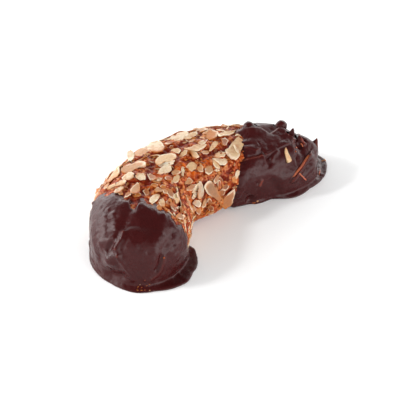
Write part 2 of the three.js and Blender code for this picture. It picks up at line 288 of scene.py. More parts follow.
def halfWidth(along, side):  # the bend is sharper inside than outside, so the flanks differ
    parts = ("elbow", "shoulder", "flank", "flankFade", "crook")
    elbow, shoulder, flank, fade, crook = [horn[part] for part in parts]
    outer = elbow[0] * hump(along, *elbow[1:]) + shoulder[0] * ease(-along, *shoulder[1:])
    inner = flank[0] * ease(along, *flank[1:]) * (1 - fade[0] * ease(along, *fade[1:]))
    inner = inner - crook[0] * hump(along, *crook[1:])
    return widthAt(along) / 2 + np.where(side > 0, outer, inner)


def tipShare(along):
    left = horn["length"] / 2 - np.abs(along)
    into = np.clip(1 - left / tipLength(along), 0, 1)
    return (1 - into ** horn["tipRound"]) ** (1 / horn["tipRound"])


def heightAt(along):
    towards = along / (horn["length"] / 2)
    atTip = np.where(along < 0, horn["height"]["blunt"], horn["height"]["slim"])
    share = lerp(horn["height"]["middle"], atTip, towards ** 2)
    return share * widthAt(along) * tipShare(along) ** horn["tipDrop"]


def ribProfile(row):  # rows 0 to 1 from ridge to widest line, 1 to 2 under it, 2 to 3 along the base
    power = 2 / horn["round"]
    a = np.clip(row, 0, 1) * math.pi / 2
    b = np.clip(row - 1, 0, 1) * math.pi / 2
    upper = np.sin(a) ** power
    lower = lerp(horn["base"], 1, np.cos(b))
    out = np.where(row <= 1, upper, np.where(row <= 2, lower, horn["base"] * (3 - row)))
    crown = lerp(horn["side"], 1, np.clip(np.cos(a), 0, 1) ** power)
    return out, np.where(row <= 1, crown, horn["side"] * (1 - np.sin(b)))


def ribPoints(stand, reach, height, row):
    out, up = ribProfile(row)
    flat = stand + reach * out[..., None]
    return np.concatenate([flat, (horn["floor"] + height * up)[..., None]], -1)


def legRib(along, side):  # side 1 is the outside of the bend
    point, outward = spineAt(along)
    return point, outward * (side * halfWidth(along, side) * tipShare(along))[..., None], heightAt(along)


def tipRib(end, angle):  # angle from 1, outer side, over 0, the tip, to -1
    widest = math.acos((1 - horn["pole"]) ** (horn["tipRound"] / 2))
    into = np.cos(widest * angle) ** (2 / horn["tipRound"])
    along = end * (horn["length"] / 2 - (1 - into) * tipLength(end))
    half = halfWidth(along, angle) * np.sin(np.abs(widest * angle)) ** (2 / horn["tipRound"])
    point, outward = spineAt(along)
    pole = np.full_like(angle, poleAlong(end))
    stand = spineAt(pole)[0]
    return stand, point + outward * (np.sign(angle) * half)[..., None] - stand, heightAt(pole)


def rowList(side, under, base):
    steps = [np.linspace(0, 1, side + 1), np.linspace(1, 2, under + 1)[1:], np.linspace(2, 3, base + 1)[1:]]
    return np.concatenate(steps)


def gridFaces(columns, rows, closed):
    count = columns if closed else columns - 1
    column, row = np.meshgrid(np.arange(count), np.arange(rows - 1), indexing="ij")
    here = column * rows + row
    there = (column + 1) % columns * rows + row
    return np.stack([here, there, there + 1, here + 1], -1).reshape(-1, 4)


# baked almond paste

paste = {
    "name": "baked_paste",
    "legColumns": 260,
    "tipColumns": 30,
    "rows": (70, 26, 8),
    "lumps": (8.0, 0.5),  # size and height in mm, as the next three
    "crags": (3.4, 0.55),
    "strands": (1.6, 0.28),
    "grain": (0.9, 0.12),
    "sunk": 0.6,  # how far crags and strands lie in the skin, over their height
    "lap": (0.1, 0.42),  # how far the glaze climbs up a flake, under its middle and at its edge
    "ragged": (1.9, 1.5),  # size and unevenness of the glaze's edge on a flake
    "moat": 0.1,  # how far it draws away round a flake
    "inner": 0.66,  # share of a flake that counts as its middle
    "beside": 1.22,  # reach of the moat over that of the flake
    "near": 9,  # mm from a flake's middle, past which nothing of it reaches
    "furrowShade": 1.5,  # how much more painted shade a furrow gets than as deep a hollow
}
# furrows that the photograph shows in the crust: width and depth in mm, pixels along each
furrows = [
    {"wide": 1.4, "deep": 0.8,
     "line": [(136, 160), (142, 157), (150, 154), (158, 153.5), (165, 151.5), (170, 148.5)]},
    {"wide": 1.6, "deep": 0.8,
     "line": [(170, 148.5), (178, 146.5), (186, 142), (191, 139), (197, 136.5), (203, 132.5)]},
    {"wide": 1.7, "deep": 0.6, "line": [(152, 157), (152, 164), (150, 170), (147, 176), (148, 182)]},
    {"wide": 1.3, "deep": 0.7,
     "line": [(126, 181.5), (133, 181.5), (141, 182), (148, 183.5), (153, 183)]},
    {"wide": 1.7, "deep": 0.6, "line": [(129, 184), (126, 189), (123, 196)]},
    {"wide": 1.8, "deep": 0.7, "line": [(131, 199), (135, 201), (139, 199), (142, 195), (146, 190)]},
    {"wide": 1.3, "deep": 0.5, "line": [(177, 159), (173, 165), (171, 171)]},
    {"wide": 1.6, "deep": 0.7,
     "line": [(209, 154), (214, 151), (222, 150), (227, 147), (232, 142.5), (236, 138.5)]},
    {"wide": 1.2, "deep": 0.4, "line": [(178, 158), (184, 160), (192, 160.5), (201, 159), (209, 154)]},
    {"wide": 1.3, "deep": 0.5, "line": [(214, 129), (223, 129.5), (232, 128.5), (242, 128)]},
    {"wide": 1.0, "deep": 0.6, "line": [(221, 200), (227, 193), (233, 187.5)]},
    {"wide": 1.7, "deep": 0.7, "line": [(186, 221), (187, 228), (187, 234)]},
    {"wide": 0.8, "deep": 1.0, "line": [(178, 185), (180, 195), (181, 203), (183, 212), (185, 222)]},
    {"wide": 0.9, "deep": 0.5, "line": [(204, 181), (203, 192), (204, 199)]},
    {"wide": 1.2, "deep": 0.8, "line": [(222, 177), (227, 179)]},
    {"wide": 0.9, "deep": 0.6, "line": [(229, 172), (232, 173)]},
]
# clear amber glaze between the flakes: pixel, radius in mm
ambers = [
    {"at": (176, 170), "wide": 3.0}, {"at": (158, 176), "wide": 2.2}, {"at": (168, 177), "wide": 2.5},
    {"at": (210, 135), "wide": 3.0}, {"at": (184, 165), "wide": 2.2}, {"at": (194, 173), "wide": 2.5},
    {"at": (152, 186), "wide": 2.2}, {"at": (206, 161), "wide": 2.2}, {"at": (189, 203), "wide": 2.5},
    {"at": (225, 141), "wide": 2.0}, {"at": (142, 166), "wide": 1.6}, {"at": (228, 186), "wide": 1.6},
]


def pasteSkin():
    rows = rowList(*paste["rows"])
    along = np.linspace(poleAlong(-1), poleAlong(1), paste["legColumns"], endpoint=False)
    angle = np.linspace(1, -1, paste["tipColumns"], endpoint=False)
    back = poleAlong(1) + poleAlong(-1) - along
    ribs = [legRib(along, 1), tipRib(1, angle), legRib(back, -1), tipRib(-1, -angle)]
    stand, reach, height = [np.concatenate(part) for part in zip(*ribs)]
    points = ribPoints(stand[:, None], reach[:, None], height[:, None], rows[None] + 0 * height[:, None])
    return weld(points.reshape(-1, 3), gridFaces(len(height), len(rows), True))


def bakedPasteMaterial():
    # almond paste browned in the oven and brushed with sugar glaze:
    # caramel and painted shade darken the hollows, crests stay lighter, clear amber patches and small
    # glints
    material, tree, shader = startMaterial("almond paste, baked and glazed")
    place = addNode(tree, "ShaderNodeTexCoord").outputs["Object"]
    reliefShade = addNode(tree, "ShaderNodeAttribute", attribute_name="reliefShade").outputs["Fac"]
    clear = addNode(tree, "ShaderNodeAttribute", attribute_name="amber").outputs["Fac"]
    patch = addNode(tree, "ShaderNodeTexNoise", {"Vector": place, "Scale": 1 / (5.0 * mm), "Detail": 3.0})
    crumb = addNode(tree, "ShaderNodeTexNoise", {"Vector": place, "Scale": 1 / (1.3 * mm), "Detail": 6.0})
    # painted shade: the lower the relief, the nearer the colour comes to dark caramel
    deep = addNode(tree, "ShaderNodeMapRange", {"Value": reliefShade, "From Min": -0.75, "From Max": 0.2})
    gold = addNode(tree, "ShaderNodeMapRange",
                   {"Value": patch.outputs["Fac"], "From Min": 0.42, "From Max": 0.66})
    fleck = addNode(tree, "ShaderNodeMapRange",
                    {"Value": crumb.outputs["Fac"], "From Min": 0.5, "From Max": 0.66, "To Max": 0.85})
    calm = addNode(tree, "ShaderNodeMapRange", {"Value": clear, "To Min": 1.0, "To Max": 0.1}).outputs[0]
    flecks = addNode(tree, "ShaderNodeMath", {0: fleck.outputs[0], 1: calm}, operation="MULTIPLY")
    golden = addNode(tree, "ShaderNodeMix",
                     {0: gold.outputs[0], 6: linear("9c360c"), 7: linear("b8581a")}, data_type="RGBA")
    glazed = addNode(tree, "ShaderNodeMix",
                     {0: clear, 6: golden.outputs[2], 7: linear("bc5410")}, data_type="RGBA")
    crust = addNode(tree, "ShaderNodeMix",
                    {0: flecks.outputs[0], 6: glazed.outputs[2], 7: linear("d09460")}, data_type="RGBA")
    hollowShaded = addNode(tree, "ShaderNodeMix",
                    {0: deep.outputs[0], 6: linear("6c1a06"), 7: crust.outputs[2]}, data_type="RGBA")
    pit = addNode(tree, "ShaderNodeMapRange",
                  {"Value": crumb.outputs["Fac"], "From Min": 0.5, "From Max": 0.4, "To Max": 0.8})
    pits = addNode(tree, "ShaderNodeMath", {0: pit.outputs[0], 1: calm}, operation="MULTIPLY")
    pitted = addNode(tree, "ShaderNodeMix",
                     {0: pits.outputs[0], 6: hollowShaded.outputs[2], 7: linear("561404")}, data_type="RGBA")
    bump = addNode(tree, "ShaderNodeBump",
                   {"Height": crumb.outputs["Fac"], "Strength": 0.9, "Distance": 0.4 * mm})
    tree.links.new(pitted.outputs[2], shader.inputs["Base Color"])
    tree.links.new(bump.outputs["Normal"], shader.inputs["Normal"])
    shader.inputs["Roughness"].default_value = 0.4
    shader.inputs["IOR"].default_value = 1.48
    shader.inputs["Specular IOR Level"].default_value = 0.08
    shader.inputs["Coat Weight"].default_value = 0.06
    shader.inputs["Coat Roughness"].default_value = 0.1
    shader.inputs["Subsurface Weight"].default_value = 0.3
    shader.inputs["Subsurface Radius"].default_value = (1.0, 0.45, 0.2)
    shader.inputs["Subsurface Scale"].default_value = 1.0 * mm
    return material


smoothPoints, smoothFaces = pasteSkin()
smoothTree = treeOf(smoothPoints, smoothFaces)
pastePiece = makePiece(paste["name"], smoothPoints, smoothFaces, bakedPasteMaterial())
skinPoints = readPoints(pastePiece.data)
skinNormals = readNormals(pastePiece.data)
wave = paste["lumps"][1] * bumps(skinPoints, paste["lumps"][0])
trench = np.zeros(len(skinPoints))
for furrow in furrows:
    line = np.array([rayHit(smoothTree, pixel)[0] for pixel in furrow["line"]])
    trench = np.minimum(trench, -furrow["deep"] * hump(lineDistance(skinPoints, line), 0, furrow["wide"]))
aboveBase = ease(skinPoints[:, 2], horn["floor"], horn["floor"] + 2)  # the base stays flat
crustPoints = skinPoints + skinNormals * ((wave + trench) * aboveBase)[:, None]
crustTree = meshTree(pastePiece.data, crustPoints)
print("paste skin:", len(skinPoints), "corners")


# flaked almonds

tones = {  # what each flake has taken from the oven and the glaze; three tones also carry painted shade
    "cut": "e4d2b8",
    "ivory": "d6c0a2",
    "cream": "c8a67e",
    "blush": "b0845f",
    # painted shade: this tone and the next are dry flakes darkened for the shade inside the bend
    "rawShaded": "b09a83",
    "shadedDun": "8d6648",
    "tan": "9e6844",
    "glazed": "90522c",
    # painted shade: glaze-soaked flakes, darkened further for the shade inside the bend
    "soaked": "79401f",
    "honey": "b46c2c",
    "caramel": "8f4115",
    "toast": "662809",
    "rust": "a8563c",
}
flakes = {
    "name": "flaked_almonds",
    "thickness": 0.45,
    # reach and height of the rings of corners, over the flake's own
    "rings": ((0.35, 0.5), (0.65, 0.5), (0.86, 0.5), (0.97, 0.5), (1.0, 0.4), (1.0, -0.4), (0.97, -0.5)),
    "raise": 0.1,  # of a flake's middle above the crust
    "grow": 1.08,  # the glaze covers this much of the rims again
    "curl": 0.02,  # rise over the square of the distance from the middle
    "steepest": 0.42,  # least share of a flake's face that the camera sees
    "probe": 0.6,  # how far from the middle to the rim the crust's slope is read
    "edgeFrom": 0.6,  # share of the reach where a flake's face turns into its edge
    "bow": 0.07,  # unevenness of an edge over its length
    "corner": 0.1,  # share of an edge that a chipped corner takes
    "chip": 0.15,  # pixels
    "narrow": (0.1, 0.4),  # how much slimmer one end of a whole slice is
    "wobble": 0.04,
    "snaps": (1, 4),  # a slice has one to three snapped edges
    "snapAt": (0.5, 0.85),  # over its reach
    "seed": 7,
}
# flakes that the photograph shows: tone, lift of one edge in degrees, pixels round each one,
# soak: how much glaze a dry one has taken up
flakesSeen = [
    {"tone": "ivory", "soak": 0.1, "lift": 6,
     "outline": [(128.5, 154), (131.5, 152.5), (134.5, 154.5), (134, 160), (132, 163), (129.3, 162),
                 (128, 158)]},
    {"tone": "blush", "lift": 8,
     "outline": [(133, 151.5), (139, 148.5), (146, 148), (151, 150), (147, 153.5), (140, 155.5),
                 (135.5, 156)]},
    {"tone": "ivory", "lift": 6,
     "outline": [(147, 147), (151, 143), (158, 141.5), (162, 143.5), (164, 147), (162, 151),
                 (157, 152.5), (151, 151)]},
    {"tone": "cream", "soak": 0.1, "lift": 6,
     "outline": [(157, 159), (160, 156), (168, 154.5), (174, 155), (175.5, 158), (170, 161),
                 (158, 165.5), (156, 163)]},
    {"tone": "cut", "soak": 0.1, "lift": 8,
     "outline": [(156.5, 167.5), (158, 165), (166, 162.5), (174.5, 159.5), (172.5, 163.5), (167, 166),
                 (160, 167.5)]},
    {"tone": "ivory", "soak": 0.1, "lift": 6,
     "outline": [(157.5, 174), (161, 168), (166, 166), (170.5, 166.5), (171, 170), (167, 173),
                 (161, 174.5)]},
    {"tone": "blush", "lift": 5,
     "outline": [(122, 171.5), (124, 167.5), (134, 163.5), (141, 162), (145, 163.5), (145, 167.5),
                 (135, 169), (131, 172), (126, 173)]},
    {"tone": "ivory", "lift": 7,
     "outline": [(122, 177.5), (126, 174.5), (131, 172), (133.5, 173.5), (133.5, 177), (129, 179.5),
                 (124, 180.5)]},
    {"tone": "ivory", "lift": 5,
     "outline": [(135.5, 176), (138, 173.5), (143, 173.5), (145, 176.5), (145, 179.5), (141, 180),
                 (137.5, 178.5)]},
    {"tone": "cream", "lift": 7,
     "outline": [(107.5, 188), (111, 185.5), (121, 181), (126, 181.5), (124.5, 184), (119, 185.5),
                 (109, 190)]},
    {"tone": "cream", "lift": 4,
     "outline": [(107, 184), (110, 178), (114, 172), (118, 167.5), (119.5, 170), (119, 174),
                 (115, 178.5)]},
    {"tone": "ivory", "lift": 8,
     "outline": [(114, 192.5), (116, 189), (119, 188), (122, 186.5), (124, 187.5), (122, 190.5),
                 (118.5, 193)]},
    {"tone": "glazed", "lift": 8,
     "outline": [(124.5, 197.5), (126, 193.5), (129.5, 192), (131, 194.5), (128, 196.5)]},
    {"tone": "blush", "lift": 8,
     "outline": [(130.5, 190), (133.5, 186.5), (137.5, 184), (139.5, 186.5), (139.5, 192), (136.5, 194),
                 (132, 193.5)]},
    {"tone": "tan", "lift": 10,
     "outline": [(147, 174.5), (150.5, 174), (155, 176.5), (157.5, 179), (154, 180), (150, 179.5)]},
    {"tone": "ivory", "soak": 0.1, "lift": 5,
     "outline": [(156, 179), (159, 178), (162, 178.5), (161, 180.5), (157.5, 180.5)]},
    {"tone": "ivory", "lift": 8,
     "outline": [(149.5, 200.5), (151.5, 197), (155.5, 194), (159.5, 193.5), (160, 196), (157, 200),
                 (153, 203)]},
    {"tone": "cream", "lift": 9,
     "outline": [(158.5, 202), (161, 198.5), (163.5, 199.5), (165, 203.5), (164.5, 206.5),
                 (161, 205.5)]},
    {"tone": "honey", "soak": 0.1, "lift": 8,
     "outline": [(150, 186), (154, 183.5), (158, 184.5), (156, 187.5)]},
    {"tone": "blush", "lift": 8,
     "outline": [(154.5, 190), (157, 187.5), (161, 187.5), (163, 190), (160, 192), (156, 192)]},
    {"tone": "glazed", "lift": 8,
     "outline": [(143, 191), (146, 188.5), (149, 191.5), (149.5, 195), (146, 196)]},
    {"tone": "tan", "lift": 10,
     "outline": [(166.5, 192), (168.5, 189), (171.5, 190), (174, 194.5), (173, 198.5), (169.5, 196.5)]},
    {"tone": "ivory", "soak": 0.1, "lift": 4,
     "outline": [(168, 139.5), (172, 136.5), (178, 133.5), (185, 131.5), (188, 133.5), (186.5, 137),
                 (182, 140), (175, 141)]},
    {"tone": "cream", "soak": 0.1, "lift": 7,
     "outline": [(184.5, 139.5), (188, 135.5), (192, 133), (196.5, 133), (197, 135), (192, 137.5),
                 (187, 139.5)]},
    {"tone": "blush", "lift": 5,
     "outline": [(192.5, 130.5), (196, 128.5), (203, 128), (208, 129.5), (203, 131.5), (197, 132.5)]},
    {"tone": "ivory", "lift": 7,
     "outline": [(198, 142.5), (200, 140.5), (203.5, 140.5), (205.5, 143), (203, 145), (199.5, 145.5)]},
    {"tone": "cream", "lift": 8,
     "outline": [(184, 149.5), (189, 148), (193.5, 145.5), (197, 145), (200, 146.5), (206, 145.5),
                 (203.5, 148), (198, 150.5), (190, 150)]},
    {"tone": "cream", "lift": 10,
     "outline": [(190, 151), (193.5, 150.5), (197, 153.5), (199, 156.5), (196, 158.5), (193, 157.5)]},
    {"tone": "blush", "lift": 5,
     "outline": [(201, 152.5), (203.5, 151), (207, 151), (209, 152.5), (206.5, 154), (203, 154)]},
    {"tone": "cream", "soak": 0.1, "lift": 12,
     "outline": [(210, 148.5), (211.5, 145), (214.5, 141.5), (219.5, 137), (219.5, 141.5), (217, 145),
                 (212.5, 148.5)]},
    {"tone": "cream", "lift": 7,
     "outline": [(218, 134.5), (222, 133), (229, 131.5), (235, 131), (233.5, 133.5), (229, 135),
                 (219.5, 137)]},
    {"tone": "cream", "lift": 6,
     "outline": [(235, 135.5), (238, 134), (242, 132), (243.5, 133.5), (240, 136)]},
    {"tone": "cream", "soak": 0.1, "lift": 5,
     "outline": [(225.5, 150.5), (229, 148), (235, 140.5), (238, 138), (242, 141), (243, 145),
                 (240.5, 150), (239.5, 155), (236, 159.5), (231.5, 158.5), (228, 155)]},
    {"tone": "ivory", "lift": 5, "raise": 0.6,
     "outline": [(233.5, 145), (235, 145.5), (238, 150), (240.5, 150.5), (239.5, 154), (236.5, 152)]},
    {"tone": "cream", "lift": 8,
     "outline": [(213, 157.5), (215.5, 154), (219.5, 152.5), (226, 153.5), (224, 156.5), (219, 157.5)]},
    {"tone": "ivory", "lift": 6,
     "outline": [(213, 158.5), (217, 158), (222, 159.5), (226, 159), (227, 162.5), (224.5, 165),
                 (220, 164.5)]},
    {"tone": "cream", "lift": 6,
     "outline": [(213, 160), (215.5, 161.5), (219, 165), (219.5, 169), (216, 168), (213.5, 164.5)]},
    {"tone": "ivory", "soak": 0.1, "lift": 6,
     "outline": [(214, 170.5), (217, 169), (219.5, 170.5), (217, 172)]},
    {"tone": "cream", "soak": 0.1, "lift": 5,
     "outline": [(186, 167), (189, 163.5), (193, 162), (196.5, 165), (196, 168.5), (192, 171),
                 (188, 171)]},
    {"tone": "blush", "lift": 6,
     "outline": [(205, 169), (207, 166.5), (211, 166.5), (212.5, 169.5), (211.5, 173), (208, 174.5),
                 (205.5, 172)]},
    {"tone": "cream", "lift": 8,
     "outline": [(199.5, 165), (200.5, 163), (202.5, 166), (203, 168.5), (201, 169)]},
    {"tone": "ivory", "soak": 0.1, "lift": 8,
     "outline": [(181, 169), (181.5, 166.5), (183.5, 167), (184.5, 171), (183.5, 175.5), (181.5, 175)]},
    {"tone": "cream", "soak": 0.1, "lift": 8,
     "outline": [(168.5, 184), (172.5, 180), (176.5, 175.5), (179, 172), (179.5, 176.5), (178.5, 181),
                 (174, 183)]},
    {"tone": "cream", "lift": 6,
     "outline": [(171, 151), (173.5, 149), (178, 148.5), (180.5, 150.5), (178.5, 153), (174, 152.5)]},
    {"tone": "cream", "lift": 9,
     "outline": [(179, 156.5), (181.5, 153), (184.5, 150.5), (187.5, 150.5), (186.5, 154),
                 (182.5, 157)]},
    {"tone": "ivory", "soak": 0.1, "lift": 10,
     "outline": [(192, 192.5), (193.5, 189), (197, 184.5), (200.5, 181.5), (201, 184.5), (198.5, 189),
                 (195, 192.5)]},
    {"tone": "rawShaded", "lift": 10, "raise": 0.6,
     "outline": [(200.5, 181.5), (202.5, 184.5), (203.5, 190), (203, 195.5), (200.5, 199.5),
                 (198.5, 197), (198, 191), (199, 186)]},
    {"tone": "ivory", "soak": 0.1, "lift": 9,
     "outline": [(191.5, 198), (193, 194.5), (196, 192), (197.5, 193), (196, 196.5), (193.5, 199)]},
    {"tone": "shadedDun", "lift": 6,
     "outline": [(204.5, 186), (206.5, 182.5), (209.5, 181), (213, 183.5), (216.5, 187.5), (219.5, 198),
                 (217.5, 200), (208.5, 194), (205.5, 190)]},
    {"tone": "tan", "lift": 8,
     "outline": [(213.5, 181), (215.5, 177), (217.5, 174.5), (219, 177), (217.5, 181.5), (215, 183.5)]},
    {"tone": "ivory", "lift": 10,
     "outline": [(236, 171.5), (238, 170), (239.5, 172), (238, 176.5), (236.5, 180), (235, 177.5)]},
    {"tone": "tan", "lift": 6,
     "outline": [(220.5, 204), (224, 198.5), (228.5, 193.5), (234, 189), (234.5, 193), (233, 199),
                 (230.5, 205), (225, 208.5)]},
    {"tone": "rawShaded", "lift": 8,
     "outline": [(192, 203), (194, 200.5), (198.5, 200), (200.5, 203), (199.5, 206.5), (196.5, 206.5)]},
    {"tone": "blush", "lift": 9,
     "outline": [(201.5, 206), (203, 201.5), (206.5, 196.5), (207, 201), (205.5, 206), (203, 207.5)]},
    {"tone": "glazed", "lift": 9,
     "outline": [(207.5, 201.5), (208.5, 198.5), (211, 199.5), (213, 203), (210.5, 206), (208, 205)]},
    {"tone": "blush", "lift": 8,
     "outline": [(184.5, 183.5), (187, 179), (189, 177.5), (193, 181.5), (190.5, 184)]},
    {"tone": "tan", "lift": 9,
     "outline": [(185.5, 188.5), (189, 186), (194, 184.5), (197, 184.5), (195, 187.5), (192, 190.5),
                 (187, 190.5)]},
    {"tone": "cream", "lift": 10,
     "outline": [(173.5, 195), (176, 193.5), (178.5, 197), (179, 201.5), (176.5, 204), (174, 200)]},
    {"tone": "honey", "lift": 6,
     "outline": [(202.5, 133.5), (207, 131), (213, 130.5), (218, 132), (216, 136.5), (210, 139.5),
                 (205, 138)]},
    {"tone": "glazed", "lift": 8,
     "outline": [(221, 139), (225, 138.5), (228, 141), (226, 145.5), (222.5, 145)]},
    {"tone": "blush", "lift": 8, "outline": [(220.5, 127), (223, 124.5), (227, 125.5), (225, 128)]},
    {"tone": "soaked", "lift": 8,
     "outline": [(222, 186.5), (226, 184.5), (229, 186.5), (226, 190), (222.5, 189.5)]},
    {"tone": "soaked", "lift": 7,
     "outline": [(218.5, 192), (222, 189.5), (225.5, 190.5), (224, 194.5), (220, 195.5)]},
    {"tone": "tan", "lift": 8,
     "outline": [(196, 209), (199.5, 208), (201, 211.5), (199, 214.5), (196.5, 213)]},
    {"tone": "soaked", "lift": 8,
     "outline": [(207.5, 207.5), (210, 205), (213.5, 207), (213, 210.5), (209.5, 211)]},
    {"tone": "shadedDun", "lift": 9,
     "outline": [(176, 216.5), (178.5, 213), (181.5, 214.5), (184, 217.5), (183.5, 220), (180.5, 219)]},
    {"tone": "blush", "lift": 4, "outline": [(184, 211.5), (185, 210.5), (186, 211.5), (185, 213.5)]},
    {"tone": "tan", "lift": 8, "outline": [(166, 201.5), (167.5, 200.5), (168.5, 203), (167, 204.5)]},
    {"tone": "soaked", "lift": 10,
     "outline": [(170, 203.5), (172, 203), (174.5, 207), (176, 210.5), (174.5, 211.5), (171.5, 208)]},
    {"tone": "ivory", "lift": 8, "outline": [(176, 207.5), (178.5, 206.5), (180, 208), (178, 209)]},
    {"tone": "blush", "lift": 9,
     "outline": [(191.5, 204.5), (193.5, 205), (196.5, 209), (195.5, 211), (192.5, 208.5)]},
    {"tone": "honey", "lift": 8,
     "outline": [(95.5, 194), (97, 189), (99.5, 188.5), (99, 192), (97, 196)]},
]
# slivers seen on edge: width in pixels, tone, pixels along each
sliversSeen = [
    {"wide": 1.3, "tone": "ivory", "line": [(168, 211), (171, 213.5), (173.5, 216.5)]},
    {"wide": 1.7, "tone": "ivory", "line": [(173.5, 212.5), (175, 215.5), (177.5, 218)]},
    {"wide": 1.3, "tone": "cream", "line": [(179, 220), (181, 222), (183.5, 223.5)]},
    {"wide": 1.8, "tone": "cream", "line": [(189.5, 227.5), (189, 231), (188, 235)]},
    {"wide": 1.5, "tone": "honey", "line": [(190.5, 216), (193, 219.5), (194.3, 222)]},
    {"wide": 1.4, "tone": "caramel", "line": [(192, 211), (193, 215), (192.5, 219)]},
    {"wide": 1.5, "tone": "honey", "line": [(194, 223), (193, 226), (191, 229)]},
    {"wide": 1.3, "tone": "blush", "line": [(182, 203), (184, 206), (186.5, 208.5)]},
    {"wide": 1.2, "tone": "ivory", "line": [(226, 130), (228, 127.5), (229.5, 125)]},
    {"wide": 1.8, "tone": "honey", "line": [(231, 127), (238, 125.5), (244, 123.5)]},
    {"wide": 1.0, "tone": "cream", "line": [(206, 131), (207, 134), (209, 137)]},
    {"wide": 1.1, "tone": "cream", "line": [(220, 178), (222, 180.5), (223, 182.5)]},
]


def softRim(draw, corners):  # a chipped outline: corners a little rounded, edges a little uneven
    after = np.roll(corners, -1, 0)
    along = after - corners
    uneven = draw.normal(0, flakes["bow"], (len(corners), 2)) * np.linalg.norm(along, axis=1, keepdims=True)
    bowed = (corners + after) / 2 + uneven
    cut = flakes["corner"]
    rim = np.stack([lerp(corners, after, cut), bowed, lerp(corners, after, 1 - cut)], 1).reshape(-1, 2)
    return rim + draw.normal(0, flakes["chip"], rim.shape)


def chippedOutline(draw, length, width, corners):  # a slice of almond with up to three snapped edges
    angle = np.arange(corners) / corners * 2 * math.pi
    uneven = 1 + draw.normal(0, flakes["wobble"], corners)
    narrow = 1 - draw.uniform(*flakes["narrow"]) * np.cos(angle)
    flat = np.stack([length / 2 * np.cos(angle) * uneven, width / 2 * np.sin(angle) * narrow * uneven], -1)
    for snap in range(draw.integers(*flakes["snaps"])):
        way = draw.uniform(0, 2 * math.pi)
        reach = flat @ np.array([math.cos(way), math.sin(way)])
        limit = draw.uniform(*flakes["snapAt"]) * reach.max()
        flat = flat * np.where(reach > limit, limit / np.maximum(reach, 1e-6), 1)[:, None]
    return flat


def flakeBody(draw, rim, face, thickness):  # a thin slice inside a rim of points
    centre = rim.mean(0)
    if np.cross(rim - centre, np.roll(rim, -1, 0) - centre).sum(0) @ face < 0:
        rim = rim[::-1]
    parts = [centre[None] + face * thickness / 2]
    edge = [np.zeros(1)]
    for reach, height in flakes["rings"]:
        parts.append(lerp(centre, rim, reach) + face * height * thickness)
        edge.append(np.full(len(rim), float(ease(reach, flakes["edgeFrom"], 1))))
    parts.append(centre[None] - face * thickness / 2)
    edge.append(np.zeros(1))
    points = np.concatenate(parts)
    long = np.linalg.svd(rim - centre, full_matrices=False)[2][0]
    points += np.outer(draw.normal(0, flakes["curl"]) * ((points - centre) @ long) ** 2, face)
    count = len(rim)
    k = np.arange(count)
    after = (k + 1) % count
    last = len(points) - 1
    faces = [[0, 1 + a, 1 + b] for a, b in zip(k, after)]
    for ring in range(len(flakes["rings"]) - 1):
        low, high = 1 + ring * count, 1 + (ring + 1) * count
        faces += np.stack([low + k, high + k, high + after, low + after], -1).tolist()
    faces += [[last, last - count + b, last - count + a] for a, b in zip(k, after)]
    return points, faces, np.concatenate(edge)


def tilted(normal, axis, degrees):
    axis = (axis - normal * axis.dot(normal)).normalized()
    turned = math.radians(degrees)
    return normal * math.cos(turned) + axis.cross(normal) * math.sin(turned)


def flakePlane(draw, tree, flake):  # middle and face of a flake that the photograph shows
    outline = np.array(flake["outline"], float)
    middle = outline.mean(0)
    hits = [rayHit(tree, pixel) for pixel in [middle, *lerp(middle, outline, flakes["probe"])]]
    normal = sum((hit[1] for hit in hits), Vector()).normalized()
    face = tilted(normal, Vector(draw.normal(0, 1, 3)), flake["lift"])
    while face.dot(camBack) < flakes["steepest"]:
        face = (face + 0.1 * camBack).normalized()  # turned a little more to the camera
    return hits[0][0] + normal * flake.get("raise", flakes["raise"]), face


strip = {"stations": 15, "sides": 8, "taper": 5}  # a higher taper keeps its width closer to the ends


def stripBody(tree, line, wide, thickness):  # a sliver that follows a surface under a line of pixels
    sides = strip["sides"]
    t = np.linspace(0, 1, strip["stations"])
    stops = np.linspace(0, 1, len(line))
    pixels = np.stack([np.interp(t, stops, [pixel[axis] for pixel in line]) for axis in (0, 1)], -1)
    hits = [rayHit(tree, pixel) for pixel in pixels]
    spots = np.array([hit[0] for hit in hits])
    face = np.mean([hit[1] for hit in hits], axis=0)
    run = np.gradient(spots, axis=0)
    cross = np.cross(face, run)
    cross /= np.linalg.norm(cross, axis=1, keepdims=True)
    taper = np.sqrt(1 - np.abs(2 * t - 1) ** strip["taper"])[:, None]
    half = wide / 2 / photo["scale"]
    rings = []
    for angle in np.arange(sides) / sides * 2 * math.pi:
        offset = math.cos(angle) * half * cross + math.sin(angle) * thickness / 2 * face
        rings.append(spots + taper * offset)
    points = np.stack(rings, 1).reshape(-1, 3)
    a = np.arange(sides)
    b = (a + 1) % sides
    faces = []
    for low in range(0, (len(t) - 1) * sides, sides):
        faces += np.stack([low + a, low + b, low + sides + b, low + sides + a], -1).tolist()
    return weld(points, np.array(faces))


